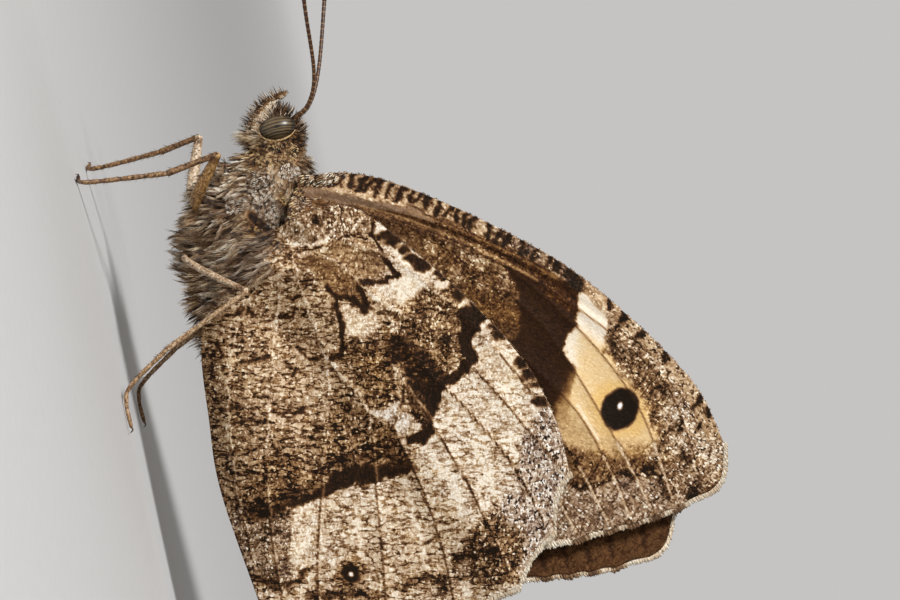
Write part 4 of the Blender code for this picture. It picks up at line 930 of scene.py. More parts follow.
drift = wing_noise(0.9, 0.9, 0.0)
rows = graph.vector(along * (1 / SCALE_LENGTH) + drift * 1.2, across * (1 / SCALE_WIDTH) + drift * 1.2, seed)
tile = graph.add("ShaderNodeTexVoronoi", {"voronoi_dimensions": "3D"},
                 {"Vector": rows, "Scale": 1.0, "Randomness": 0.9})
single = graph.add("ShaderNodeSeparateXYZ", None, {0: tile["Color"]})["X"]
clump = wing_noise(0.30, 0.32, 3.0, 2.5, 0.60)
broad = wing_noise(1.3, 1.6, 5.0)
smudge = wing_noise(0.25, 0.62, 9.0, 3.0, 0.60).step(0.50, 0.60) * strokes
stria = wing_noise(0.52, 1.60, 13.0, 2.5, 0.52)
thin = stria.away(0.5).step(0.046, 0.014) * clump.step(0.38, 0.50) * strokes * (1.30 - tone)
black = clump.step(0.50, 0.60) * single.step(0.75, 0.50)
mottled = tone + (single - 0.5) * (flecks * 0.42 + 0.05) + (clump - 0.5) * flecks * 1.15
mottled = mottled + (broad - 0.5) * flecks * 0.70 - smudge * 0.30 - thin * 0.70 - black * pepper * 0.80
# Painted highlight: the brightest few single scales are lifted, as glints of light on the scales.
mottled = (mottled + single.step(0.93, 0.97) * flecks * 0.25).kept()
shade = tinted(graph, mottled, warmth + smudge * 0.30 + (broad - 0.5) * 0.7 * (flecks + 0.15))
relief = graph.bump(0.55, 0.00003, tile["Distance"] * -1.0 + single * 0.4)
feed(graph, shader, Base_Color=shade, Normal=relief, Roughness=0.78 - single * 0.2)
print("nodes in the scale finish:", len(wing_finish.node_tree.nodes))

# %% [markdown]
# ## Wing skins
# A Coons patch between the four drawn edges gives a grid whose rows run from hinge to margin. The upper
# and under skins are two copies of it, a tenth of a millimetre apart and closed at the rim. The veins are
# raised on both, and between them the membrane sinks a little, as it does when a wing has dried.

# %% Build the wings
SKIN_HALF = 0.05
PLEAT, PLEAT_REACH = 0.06, 0.5
VEIN_SHARE = 0.6  # of the drawn height of a vein's ridge, on the outer face
UNDER_SHARE = 0.3  # of the outer face's ridge, on the inner face
WAVINESS = 0.03
RIM_FADE = 0.5  # how far inside the margin a vein's ridge reaches its full height
SCALE_SEEDS = {"left": 3.0, "right": 41.0}
LIE_TURN = {"forewing": 0.0, "hindwing": 34.0}  # from the wing's axis to the way its scales point, in degrees


def wing_skin(kind, wing, side):
    """One closed wing with its marks as attributes."""
    grid = grids[kind]
    rows, columns = grid.shape[0], grid.shape[1]
    places = grid.reshape(-1, 2)
    p, q = places.T
    x, z = to_frame(p, q, wing, side)
    ridge, gap = vein_relief(places, wing)
    pleat = PLEAT * (np.exp(-((gap / PLEAT_REACH) ** 2)) - 0.5)
    rim = nearest(places, np.vstack((grid[:, 0], grid[-1], grid[::-1, -1])))[0]
    ridge = ridge * smoothstep(0.0, RIM_FADE, rim) * VEIN_SHARE
    middle = wing_level(x, z, wing, side) + pleat + WAVINESS * cloud(p / 4.0, q / 3.0, 17)
    levels = (middle + SKIN_HALF + ridge, middle - SKIN_HALF - UNDER_SHARE * ridge)
    points = np.vstack([np.stack((x, SIDES[side] * level, z), axis=1) for level in levels])
    index, quads = grid_faces(rows, columns)
    under = rows * columns
    edge = np.concatenate((index[0, :-1], index[:-1, -1], index[-1, :0:-1], index[:0:-1, 0]))
    rim_faces = np.stack((edge, edge + under, np.roll(edge, -1) + under, np.roll(edge, -1)), axis=1)
    faces = np.vstack((quads, quads[:, ::-1] + under, rim_faces[:, ::-1]))
    if side == "right":
        faces = faces[:, ::-1]
    marks = forewing_under if kind == "forewing" else hindwing_under
    seed = int(SCALE_SEEDS[side]) + (0 if kind == "forewing" else 100)
    painted = (marks(places, seed), upper_side(places, seed + 50, wing))
    both = {label: np.concatenate([layers[label] for layers in painted]) for label in painted[0]}
    turn = math.radians(LIE_TURN[kind])
    along, across = p * math.cos(turn) + q * math.sin(turn), q * math.cos(turn) - p * math.sin(turn)
    lie = np.stack((along, across, np.full(len(p), seed, float)), axis=1)
    attributes = {
        "paint": np.stack((both["tone"], both["warmth"], both["flecks"]), axis=1),
        "speckle": np.stack((both["strokes"], both["pepper"], both["tone"]), axis=1),
        "lie": np.vstack((lie, lie + (0.0, 0.0, 20.0))),
    }
    piece = mesh_piece(f"{kind}_{side}_scaled", points, faces, attributes, wing_finish)
    cleaned = bmesh.new()
    cleaned.from_mesh(piece.data)
    bmesh.ops.remove_doubles(cleaned, verts=cleaned.verts, dist=1e-7)
    bmesh.ops.recalc_face_normals(cleaned, faces=cleaned.faces)
    cleaned.to_mesh(piece.data)
    cleaned.free()
    settle(piece, [f"{kind}_{side}"])


for side in SIDES:
    for kind, wing in WINGS.items():
        wing_skin(kind, wing, side)

# %% [markdown]
# ## Planting scales and hair
# Fur, fringes and bristles are the same thing: small tapered shapes stood on a surface in rows or at random.
# One node tree plants them all. It scatters points on a mesh, reads from the mesh how long each tuft is and
# which way it lies, picks one of three tuft shapes, and makes everything real. Each tuft's own small map is
# then put at its root's place on the map of the surface under it, so that colours can be baked.

# %% The shape of a tuft
def tuft_shape(name, strands, stations, thickness, seed, spread=0.5, clump=0.5):
    """A few tapered three-sided strands of length 1 along z that rise toward x."""
    chance = np.random.default_rng(seed)
    points, faces, along, patch = [], [], [], []
    for strand in range(strands):
        root = np.array((0.0, (strand - (strands - 1) / 2) / max(strands - 1, 1) * 2 * spread))
        root = root + chance.uniform(-0.12, 0.12, 2)
        tip = root * (1 - clump) + chance.uniform(-0.25, 0.25, 2)
        reach = chance.uniform(0.8, 1.0)
        base = len(points)
        for t, rise, width in stations:
            sway = root + (tip - root) * t
            if width == 0.0:
                points.append((rise + sway[0] * 0.2, sway[1], t * reach))
                along.append(t)
                patch.append((0.5, t))
                continue
            for turn in (0.5, 2.6, 4.7):
                points.append((rise + sway[0] * 0.2 + thickness * 0.6 * width * math.cos(turn),
                               sway[1] + thickness * width * math.sin(turn), t * reach))
                along.append(t)
                patch.append((0.5 + 0.5 * math.sin(turn), t))
        for ring in range(len(stations) - 1):
            low, high = base + 3 * ring, base + 3 * (ring + 1)
            for k in range(3):
                if stations[ring + 1][2] == 0.0:
                    faces.append((low + k, low + (k + 1) % 3, high))
                else:
                    faces.append((low + k, low + (k + 1) % 3, high + (k + 1) % 3, high + k))
    mesh = bpy.data.meshes.new(name)
    mesh.from_pydata(points, [], faces)
    layer = mesh.attributes.new("along", "FLOAT", "POINT")
    layer.data.foreach_set("value", along)
    layer = mesh.attributes.new("patch", "FLOAT_VECTOR", "POINT")
    layer.data.foreach_set("vector", np.array([(u, v, 0.0) for u, v in patch]).ravel())
    mesh.polygons.foreach_set("use_smooth", [True] * len(mesh.polygons))
    return placed(name, mesh)


HAIR = ((0.0, 0.0, 1.0), (0.45, 0.55, 0.8), (0.8, 0.75, 0.45), (1.0, 0.7, 0.0))
STIFF = ((0.0, 0.0, 1.0), (0.5, 0.1, 0.75), (1.0, 0.15, 0.0))
FLAT = ((0.0, 0.0, 0.8), (0.35, 0.35, 1.0), (0.8, 0.4, 0.75), (1.0, 0.3, 0.0))
TUFTS = {
    "hair": [tuft_shape(f"hair_{k}", 3, HAIR, 0.16, 10 + k, 0.45, 0.6) for k in range(3)],
    "bristle": [tuft_shape(f"bristle_{k}", 1, STIFF, 0.5, 20 + k, 0.0) for k in range(3)],
    "scale": [tuft_shape(f"scale_{k}", 2, FLAT, 0.42, 30 + k, 0.42, 0.0) for k in range(3)],
}
print("triangles in a tuft of hair:", sum(len(f.vertices) - 2 for f in TUFTS["hair"][0].data.polygons))

# %% The tree that plants them
def planting_tree():
    """Surface in, real tufts out. The surface carries density, size and lie at its points."""
    tree = bpy.data.node_groups.new("Plant tufts", "GeometryNodeTree")
    graph = Graph(tree)
    for label, kind in (("Surface", "Geometry"), ("Tufts per square mm", "Float"),
                        ("Turn at random", "Float"), ("Seed", "Int"), ("Shape A", "Object"),
                        ("Shape B", "Object"), ("Shape C", "Object"), ("Finish", "Material")):
        tree.interface.new_socket(label, in_out="INPUT", socket_type=f"NodeSocket{kind}")
    tree.interface.new_socket("Tufts", in_out="OUTPUT", socket_type="NodeSocketGeometry")
    given = graph.add("NodeGroupInput")

    def kept(name, kind="FLOAT"):
        return graph.add("GeometryNodeInputNamedAttribute", {"data_type": kind}, {"Name": name})["Attribute"]

    def chance(low, high, salt):
        return graph.add("FunctionNodeRandomValue", {"data_type": "FLOAT"},
                         {2: low, 3: high, "Seed": given["Seed"] + salt})[1]

    density = kept("density") * given["Tufts per square mm"] * (1.0 / MM**2)
    points = graph.add("GeometryNodeDistributePointsOnFaces", {"distribute_method": "RANDOM"},
                       {"Mesh": given["Surface"], "Density": density, "Seed": given["Seed"]})
    shapes = [graph.add("GeometryNodeObjectInfo", None, {"Object": given[f"Shape {k}"], "As Instance": True})
              for k in "ABC"]
    choice = graph.add("GeometryNodeJoinGeometry")
    for shape in reversed(shapes):
        tree.links.new(shape["Geometry"].socket, choice.node.inputs[0])
    axes = {"Primary Axis": kept("lie", "FLOAT_VECTOR"), "Secondary Axis": kept("outward", "FLOAT_VECTOR")}
    turned = graph.add("FunctionNodeAxesToRotation", {"primary_axis": "Z", "secondary_axis": "X"},
                       axes)["Rotation"]
    angle = chance(-1.0, 1.0, 1) * given["Turn at random"]
    spin = graph.add("FunctionNodeAxisAngleToRotation", None,
                     {"Axis": (1.0, 0.0, 0.0), "Angle": angle})["Rotation"]
    turned = graph.add("FunctionNodeRotateRotation", {"rotation_space": "LOCAL"},
                       {"Rotation": turned, "Rotate By": spin})["Rotation"]
    long = kept("long") * chance(0.7, 1.2, 2) * MM
    wide = kept("wide") * chance(0.75, 1.25, 3) * MM
    size = graph.vector(long * kept("lift") * chance(0.5, 1.4, 4), wide, long)
    planted = graph.add("GeometryNodeInstanceOnPoints", None,
                        {"Points": points["Points"], "Instance": choice["Geometry"], "Pick Instance": True,
                         "Instance Index": graph.add("FunctionNodeRandomValue", {"data_type": "INT"},
                                                     {4: 0, 5: 2, "Seed": given["Seed"] + 5})[2],
                         "Rotation": turned, "Scale": size})["Instances"]
    planted = graph.add("GeometryNodeStoreNamedAttribute", {"data_type": "FLOAT", "domain": "INSTANCE"},
                        {"Geometry": planted, "Name": "single", "Value": chance(0.0, 1.0, 6)})["Geometry"]
    real = graph.add("GeometryNodeRealizeInstances", None, {"Geometry": planted})["Geometry"]
    finished = graph.add("GeometryNodeSetMaterial", None, {"Geometry": real, "Material": given["Finish"]})
    result = graph.add("NodeGroupOutput")
    tree.links.new(finished["Geometry"].socket, result.node.inputs[0])
    return tree


PLANTING = planting_tree()
PATCH = 0.003  # size of a tuft's own map on the map of its surface


def plant(name, surface, per_square, turn, seed, shapes, finish):
    """The tufts on a surface as one plain mesh, with each tuft's patch on the surface's map."""
    carrier = surface.copy()
    carrier.data = surface.data.copy()
    bpy.context.collection.objects.link(carrier)
    modifier = carrier.modifiers.new("Plant", "NODES")
    modifier.node_group = PLANTING
    sockets = {item.name: item.identifier for item in PLANTING.interface.items_tree if item.in_out == "INPUT"}
    wanted = {"Tufts per square mm": per_square, "Turn at random": turn, "Seed": seed, "Shape A": shapes[0],
              "Shape B": shapes[1], "Shape C": shapes[2], "Finish": finish}
    for label, value in wanted.items():
        modifier[sockets[label]] = value
    evaluated = carrier.evaluated_get(bpy.context.evaluated_depsgraph_get())
    mesh = bpy.data.meshes.new_from_object(evaluated)
    mesh.name = name
    bpy.data.objects.remove(carrier)
    roots, patches = (numbers_of(mesh.attributes[label].data, "vector")[:, :2] for label in ("map", "patch"))
    place = roots + PATCH * patches
    corners = np.zeros(len(mesh.loops), int)
    mesh.loops.foreach_get("vertex_index", corners)
    mesh.uv_layers.new(name="OFBake").uv.foreach_set("vector", place[corners].ravel())
    mesh.polygons.foreach_set("use_smooth", [True] * len(mesh.polygons))
    return placed(name, mesh)


print("inputs:", [item.name for item in PLANTING.interface.items_tree if item.in_out == "INPUT"])

# %% [markdown]
# ## The trunk
# Under the fur, head, thorax and abdomen are three horny capsules joined by soft necks, with the two palps
# and the small folded forelegs against them. Here they are one skin: the forms are drawn a little slimmer
# than the solids, to leave room for the coat, joined by a voxel remesh and smoothed, so no seam shows.

# %% Forms under the fur
# Axes as x, z of front and rear. Stations: share of the axis, reach to the back, reach to the belly and half
# width.
HEAD_AXIS = ((1.9, 12.6), (-1.3, 12.1))
HEAD_STATIONS = ((0.0, 0.7, 0.7, 0.6), (0.12, 1.3, 1.2, 1.05), (0.38, 1.9, 1.7, 1.4), (0.65, 2.1, 1.9, 1.5),
                 (0.88, 1.9, 1.8, 1.35), (1.0, 1.5, 1.4, 1.1))
THORAX_AXIS = ((-0.5, 12.25), (-9.4, 7.25))
THORAX_STATIONS = ((0.0, 2.2, 1.3, 1.2), (0.05, 2.7, 2.0, 1.7), (0.16, 3.0, 2.8, 2.2), (0.35, 3.2, 3.9, 2.6),
                   (0.55, 3.2, 4.2, 2.7), (0.75, 2.8, 4.0, 2.45), (0.9, 2.2, 3.1, 1.95), (1.0, 1.5, 2.0, 1.3))
ABDOMEN_AXIS = ((-8.2, 7.8), (-21.6, 6.9))
ABDOMEN_STATIONS = ((0.0, 1.6, 1.7, 1.5), (0.12, 1.8, 2.1, 1.75), (0.35, 1.75, 2.0, 1.75),
                    (0.6, 1.55, 1.7, 1.55), (0.82, 1.2, 1.3, 1.2), (0.95, 0.75, 0.8, 0.75),
                    (1.0, 0.45, 0.5, 0.45))
PALP_PATH = ((0.2, 0.55, 10.7), (1.25, 0.6, 11.2), (2.15, 0.55, 12.2), (2.62, 0.5, 13.55))
PALP_RADII = (0.30, 0.38, 0.34, 0.14)
FORELEG_PATH = ((-2.4, 0.9, 8.9), (-1.9, 1.3, 8.5), (-1.3, 1.4, 8.6), (-0.85, 1.3, 9.0))
FORELEG_RADII = (0.34, 0.32, 0.28, 0.14)
TEGULA_PATH = ((-2.6, 1.95, 10.25), (-2.45, 2.05, 10.9), (-2.3, 2.0, 11.6))
TEGULA_RADII = (0.22, 0.50, 0.24)
FUR_ROOM = {"head": (0.35, 0.35, 0.32), "thorax": (0.35, 0.9, 0.5), "abdomen": (0.25, 0.25, 0.25)}


def ring_faces(rings, sides):
    """Quads between rings of points, and a fan at each end round two last points."""
    faces = [(r * sides + k, r * sides + (k + 1) % sides, (r + 1) * sides + (k + 1) % sides,
              (r + 1) * sides + k) for r in range(rings - 1) for k in range(sides)]
    first, last, top = rings * sides, rings * sides + 1, (rings - 1) * sides
    faces += [((k + 1) % sides, k, first) for k in range(sides)]
    return faces + [(top + k, top + (k + 1) % sides, last) for k in range(sides)]


def trunk_form(axis, stations, room, rings=40, sides=40):
    """A form along a straight axis, drawn inside its solid by the room for fur."""
    front, rear = (np.array(end, float) for end in axis)
    along = (rear - front) / np.linalg.norm(rear - front)
    down = np.array((along[1], -along[0]))
    down = down if down[1] < 0 else -down
    dense = spline(stations, 0.08)
    points = []
    for share in np.linspace(0.0, 1.0, rings):
        back, belly, half = (np.interp(share, dense[:, 0], dense[:, k + 1]) - room[k] for k in range(3))
        for turn in np.arange(sides) * math.tau / sides:
            reach = math.cos(turn) * (belly if math.cos(turn) > 0 else back)
            x, z = front + (rear - front) * share + down * reach
            points.append((x, half * math.sin(turn), z))
    for end, sign, station in ((front, -1, stations[0]), (rear, 1, stations[-1])):
        x, z = end + along * sign * 0.35 * station[3]
        points.append((x, 0.0, z))
    return np.array(points), ring_faces(rings, sides)


def tube_form(path, radii, sides=12, spacing=0.12, squeeze=1.0, bumps=None):
    """A tapered tube along a smooth path, with rounded ends."""
    course = spline(path, spacing)
    knots = np.linspace(0.0, 1.0, len(radii))
    shares = np.linspace(0.0, 1.0, len(course))
    thick = np.interp(shares, knots, radii)
    if bumps is not None:
        thick = thick * bumps(shares)
    forward = unit(np.gradient(course, axis=0))
    across = unit(np.cross(forward, (0.0, 1.0, 0.0)))
    beside = np.cross(forward, across)
    turns = np.arange(sides) * math.tau / sides
    rings = (course[:, None] + (across[:, None] * np.cos(turns)[None, :, None]
                                + beside[:, None] * squeeze * np.sin(turns)[None, :, None])
             * thick[:, None, None])
    ends = np.stack((course[0] - forward[0] * thick[0] * 0.6, course[-1] + forward[-1] * thick[-1] * 0.6))
    return np.vstack((rings.reshape(-1, 3), ends)), ring_faces(len(course), sides)


def joined(forms):
    """Several point-and-face sets as one."""
    points, faces = [], []
    for form_points, form_faces in forms:
        start = sum(len(p) for p in points)
        points.append(form_points)
        faces += [tuple(v + start for v in face) for face in form_faces]
    return np.vstack(points), faces


def mirrored(path, sign):
    return tuple((x, y * sign, z) for x, y, z in path)


forms = [trunk_form(HEAD_AXIS, HEAD_STATIONS, FUR_ROOM["head"]),
         trunk_form(THORAX_AXIS, THORAX_STATIONS, FUR_ROOM["thorax"]),
         trunk_form(ABDOMEN_AXIS, ABDOMEN_STATIONS, FUR_ROOM["abdomen"])]
for sign in SIDES.values():
    forms.append(tube_form(mirrored(PALP_PATH, sign), PALP_RADII, squeeze=0.75))
    forms.append(tube_form(mirrored(FORELEG_PATH, sign), FORELEG_RADII))
    forms.append(tube_form(mirrored(TEGULA_PATH, sign), TEGULA_RADII, squeeze=0.6))
forms.append(tube_form(((-0.6, 0.0, 12.2), (-1.6, 0.0, 12.0), (-2.6, 0.0, 11.6)), (1.0, 1.15, 1.3), sides=24))
print("forms under the fur:", len(forms))

# %% One skin over them
VOXEL = 0.13  # in the drawing's millimetres, taken as whole units while the skin is made
SMOOTHING = 6


def remeshed(points, faces):
    """One closed smooth skin round overlapping forms."""
    mesh = bpy.data.meshes.new("forms")
    mesh.from_pydata(points.tolist(), [], faces)
    shape = placed("forms", mesh)
    clean = bmesh.new()
    clean.from_mesh(mesh)
    bmesh.ops.recalc_face_normals(clean, faces=clean.faces)
    clean.to_mesh(mesh)
    clean.free()
    remesh = shape.modifiers.new("Join", "REMESH")
    remesh.mode, remesh.voxel_size = "VOXEL", VOXEL
    smooth = shape.modifiers.new("Smooth", "SMOOTH")
    smooth.factor, smooth.iterations = 0.5, SMOOTHING
    made = bpy.data.meshes.new_from_object(shape.evaluated_get(bpy.context.evaluated_depsgraph_get()))
    spots, outward = numbers_of(made.vertices, "co"), numbers_of(made.vertices, "normal")
    around = [tuple(face.vertices) for face in made.polygons]
    bpy.data.objects.remove(shape)
    return spots, outward, around


skin_points, skin_normals, skin_faces = remeshed(*joined(forms))
print("skin points:", len(skin_points))

# %% [markdown]
# ### Which hair grows where
# The thorax wears long silver-grey hair that sweeps down and back round the legs' roots; the head has short
# rusty scales behind the eye, stiff dark bristles over the face and on the palps; the abdomen is covered by
# short flat scales. A short table of places, each with the way its hair lies, its length and its colour, is
# blended over the skin by nearness. Skin and hair read the same tone, so no bare spot stands out.

# %% The coat's table
# Rows: x, z, direction of the hair in the picture (0 toward the wings, 90 toward the head, 180 toward the
# feet), length, width, lift, density, tone, warmth.
COAT = (
    ((2.2, 13.2), 120, 0.75, 0.09, 0.10, 9.0, 0.20, 0.0),
    ((1.6, 14.2), 60, 0.70, 0.09, 0.10, 9.0, 0.24, 0.0),
    ((0.4, 14.4), 30, 0.60, 0.10, 0.20, 11.0, 0.38, 0.1),
    ((1.6, 11.4), 165, 0.85, 0.09, 0.12, 11.0, 0.78, 0.1),
    ((0.4, 10.8), 178, 1.00, 0.09, 0.16, 16.0, 0.88, 0.1),
    ((-0.4, 9.9), 170, 1.15, 0.12, 0.30, 16.0, 0.54, -0.1),
    ((-0.6, 12.4), 225, 0.26, 0.13, 0.22, 22.0, 0.46, 0.7),
    ((-0.8, 13.6), 330, 0.35, 0.13, 0.25, 20.0, 0.40, 0.4),
    ((-0.9, 11.2), 200, 0.40, 0.13, 0.25, 18.0, 0.50, 0.5),
    ((-1.9, 12.2), 245, 0.40, 0.14, 0.22, 18.0, 0.70, 0.1),
    ((-2.2, 13.8), 330, 0.60, 0.14, 0.20, 14.0, 0.62, 0.0),
    ((-1.6, 10.2), 205, 0.95, 0.15, 0.22, 14.0, 0.72, 0.05),
    ((-1.4, 9.0), 188, 1.30, 0.14, 0.36, 20.0, 0.58, -0.1),
    ((-2.3, 9.4), 210, 1.15, 0.16, 0.25, 13.0, 0.74, -0.1),
    ((-3.2, 8.0), 185, 1.30, 0.16, 0.28, 13.0, 0.56, 0.0),
    ((-3.8, 11.6), 235, 0.45, 0.15, 0.20, 18.0, 0.72, 0.0),
    ((-4.2, 9.8), 215, 0.80, 0.16, 0.20, 14.0, 0.62, 0.15),
    ((-4.2, 7.4), 197, 1.40, 0.17, 0.25, 13.0, 0.66, 0.0),
    ((-5.2, 8.6), 205, 1.40, 0.17, 0.22, 13.0, 0.62, 0.05),
    ((-5.6, 11.2), 225, 0.60, 0.15, 0.22, 18.0, 0.66, 0.15),
    ((-5.6, 10.0), 200, 1.00, 0.16, 0.22, 13.0, 0.54, 0.3),
    ((-6.2, 9.2), 212, 1.50, 0.17, 0.22, 13.0, 0.74, -0.05),
    ((-5.8, 6.0), 188, 1.60, 0.16, 0.28, 12.0, 0.60, 0.1),
    ((-6.9, 7.6), 195, 1.50, 0.16, 0.22, 13.0, 0.68, 0.0),
    ((-8.0, 9.4), 212, 1.00, 0.16, 0.20, 13.0, 0.64, 0.05),
    ((-8.0, 6.8), 190, 1.60, 0.16, 0.22, 12.0, 0.58, 0.15),
    ((-8.0, 4.6), 182, 1.70, 0.15, 0.28, 12.0, 0.52, 0.30),
    ((-10.4, 7.0), 205, 1.30, 0.15, 0.20, 10.0, 0.44, 0.25),
    ((-10.6, 5.4), 188, 1.50, 0.15, 0.22, 10.0, 0.40, 0.35),
    ((-13.5, 7.6), 262, 0.45, 0.15, 0.16, 14.0, 0.48, 0.2),
    ((-13.5, 5.6), 235, 0.70, 0.15, 0.18, 12.0, 0.44, 0.3),
    ((-18.0, 7.4), 265, 0.40, 0.14, 0.16, 14.0, 0.46, 0.2),
    ((-21.0, 6.8), 262, 0.45, 0.12, 0.16, 14.0, 0.44, 0.25),
)
# Where flat scales take the place of hair: middle x, z, half sizes, turn in degrees from x toward z, tone
# and warmth.
SCALY = (
    ((-2.45, 10.95), (0.62, 0.92), 10, 0.60, 0.0),
    ((-4.1, 11.1), (1.75, 0.70), 151, 0.55, -0.05),
    ((-3.5, 9.3), (0.65, 0.70), 0, 0.56, -0.05),
    ((-0.95, 12.2), (0.75, 1.35), 0, 0.42, 0.60),
    ((-2.2, 12.7), (0.50, 0.60), 0, 0.70, -0.1),
    ((-3.8, 12.1), (0.55, 0.30), 0, 0.52, 1.0),
    ((-5.1, 10.2), (0.32, 0.45), 0, 0.52, 1.0),
)
CRACK = ((-4.45, 9.95), (-4.8, 10.15), (-5.3, 10.6), (-5.9, 11.1))  # the bare line between two plates, painted near black there as the shade in that gap
CRACK_EDGE, CRACK_TRIMMED, CRACK_TRIM = (0.34, 0.14), (1.1, 0.4), 0.6  # hair near it is shorter by a share


TUFT_LAYERS = ("long", "wide", "lift", "density", "tone", "warmth")


def picture_direction(degrees):
    """Directions in the picture as directions of the frame."""
    turn = np.radians(degrees)
    return np.stack([np.cos(turn) * right[k] + np.sin(turn) * up[k] for k in range(3)], axis=1)


def coat_layers(points, normals):
    """All that the planting tree and the finish need, at each point of the skin."""
    x, y, z = points.T
    weights = np.stack([1.0 / (0.15 + (x - row[0][0]) ** 2 + (z - row[0][1]) ** 2) ** 2 for row in COAT],
                       axis=1)
    weights /= weights.sum(axis=1)[:, None]
    angles = picture_direction(np.array([row[1] for row in COAT], float))
    lie = weights @ angles
    values = {label: weights @ np.array([row[k] for row in COAT], float)
              for k, label in enumerate(TUFT_LAYERS, start=2)}
    sweep = 0.85 * np.stack([cloud(x / 0.9, z / 0.9 + y, seed) for seed in (71, 72, 73)], axis=1)
    lie = lie + sweep * np.array((0.5, 0.5, 0.5))
    lie /= np.linalg.norm(lie, axis=1)[:, None]
    out = (lie * normals).sum(axis=1)
    wanted = np.clip(out, 0.12, 0.72)
    flat = lie - out[:, None] * normals
    flat /= np.maximum(np.linalg.norm(flat, axis=1), 1e-6)[:, None]
    lie = flat * np.sqrt(1 - wanted**2)[:, None] + normals * wanted[:, None]
    fore = smoothstep(-2.6, -1.4, x)
    values["long"] *= 1.0 + 0.25 * cloud(x / 0.5, z / 0.5 + y, 80)
    values["tone"] += (0.16 * cloud(x / 0.6, z / 0.6 + y, 74) + 0.12 * cloud(x / 0.25, z / 0.25 + y, 76)
                       + 0.16 * fore * cloud(x / 0.3, z / 0.2 + y, 78))
    values["warmth"] += (0.13 + 0.20 * cloud(x / 1.1, z / 1.1 + y, 75)
                         + 0.40 * fore * cloud(x / 0.35, z / 0.35 + y, 77))
    scaly = np.zeros(len(x))
    for (middle_x, middle_z), halves, turn, tone, warmth in SCALY:
        a = math.radians(turn)
        off_x, off_z = x - middle_x, z - middle_z
        u, v = off_x * math.cos(a) + off_z * math.sin(a), off_z * math.cos(a) - off_x * math.sin(a)
        far = np.hypot(u / halves[0], v / halves[1]) + 0.12 * cloud(x / 0.3, z / 0.3, 79)
        inside = smoothstep(1.15, 0.85, far)
        values["tone"] += (tone - values["tone"]) * inside
        values["warmth"] += (warmth - values["warmth"]) * inside
        scaly = np.maximum(scaly, inside)
    crack_gap = nearest(np.stack((x, z), axis=1), spline(CRACK, 0.1))[0]
    crack = smoothstep(*CRACK_EDGE, crack_gap)
    values["long"] *= 1.0 - CRACK_TRIM * smoothstep(*CRACK_TRIMMED, crack_gap)
    # Painted shade: the skin in the gap is darkened to near black, as the shadow between the plates.
    values["tone"] += (0.03 - values["tone"]) * crack
    values["scaly"] = scaly * (1 - crack)
    values["bare"] = np.maximum(scaly, crack)
    return lie, values


lie, layers = coat_layers(skin_points, skin_normals)
print("shortest and longest hair in mm:", *(round(float(f(layers["long"])), 2) for f in (np.min, np.max)))
print("share of the skin under flat scales:", round(float(layers["scaly"].mean()), 3))

# %% Finish of skin and coat
def number_at(graph, name):
    return graph.add("ShaderNodeAttribute", {"attribute_name": name})["Fac"]


def coat_finish(name, contrast, painted_root_shadow, roughness):
    """Strands darkened toward the root by a painted shade deep in the coat, each of its own tone about the
    skin's.
    """
    made, graph, shader = material(name, Specular_IOR_Level=0.40, Roughness=roughness)
    single, run = number_at(graph, "single"), number_at(graph, "along")
    tone = number_at(graph, "tone") + (single - 0.5) * contrast - (1.0 - run) * painted_root_shadow
    feed(graph, shader, Base_Color=tinted(graph, tone.kept(), number_at(graph, "warmth")))
    return made


hair_finish = coat_finish("Hair", 0.75, 0.30, 0.42)
scale_finish = coat_finish("Body scales", 0.95, 0.10, 0.55)
bristle_finish = coat_finish("Bristles", 1.1, 0.05, 0.4)
fringe_finish = coat_finish("Fringe scales", 0.25, 0.05, 0.6)
skin_finish, graph, shader = material("Skin", Roughness=0.7, Specular_IOR_Level=0.2)
grain = graph.noise(graph.place(), 6000.0, 3.0)
feed(graph, shader, Normal=graph.bump(0.6, 0.00004, grain),
     Base_Color=tinted(graph, (number_at(graph, "tone") * 0.75 + (grain - 0.5) * 0.5).kept(),
                       number_at(graph, "warmth")))
print("materials:", len(bpy.data.materials))

# %% Skin and coat
def unwrapped(points):
    """Each side of the trunk laid flat on its own half of a map."""
    low, high = points.min(axis=0), points.max(axis=0)
    u = (points[:, 0] - low[0]) / (high[0] - low[0])
    v = (points[:, 2] - low[2]) / (high[2] - low[2]) * 0.48
    return np.stack((0.01 + 0.97 * u, np.where(points[:, 1] > 0, v, v + 0.51), np.zeros(len(u))), axis=1)


def surface_with(name, points, faces, lie, outward, layers, finish):
    """A surface that tufts can be planted on."""
    attributes = {label: layers[label] for label in TUFT_LAYERS}
    attributes.update({"lie": lie, "outward": outward, "map": unwrapped(points)})
    return mesh_piece(name, points, faces, attributes, finish)


def tufted(name, surface, tufts, finish, turn, seed, per_square=1.0):
    """A settled piece of tufts. The surface (points, faces, lie, outward, layers) is made and thrown away."""
    carrier = surface_with("carrier", *surface, finish)
    piece = plant(name, carrier, per_square, turn, seed, TUFTS[tufts], finish)
    bpy.data.objects.remove(carrier)
    settle(piece, [])


skin = surface_with("trunk_skin", skin_points, skin_faces, lie, skin_normals, layers, skin_finish)
small_parts = [f"{part}_{side}" for part in ("palp", "foreleg") for side in SIDES]
settle(skin, ["head", "thorax", "abdomen", *small_parts])

NECK_X, WAIST_X = -1.3, -9.8
BRUSH_FROM = (0.5, 1.0)  # the palp past its root, where bristles take the hair's place
FORELEG_TRIM = 0.6  # how much shorter the hair on the forelegs is
COAT_TURN = 0.35


def on_pair(path, far, close):
    """1 on the skin of two mirrored tubes, 0 away from them."""
    gaps = [nearest(skin_points, spline(mirrored(path, sign), 0.2))[0] for sign in SIDES.values()]
    return smoothstep(far, close, np.minimum(*gaps))


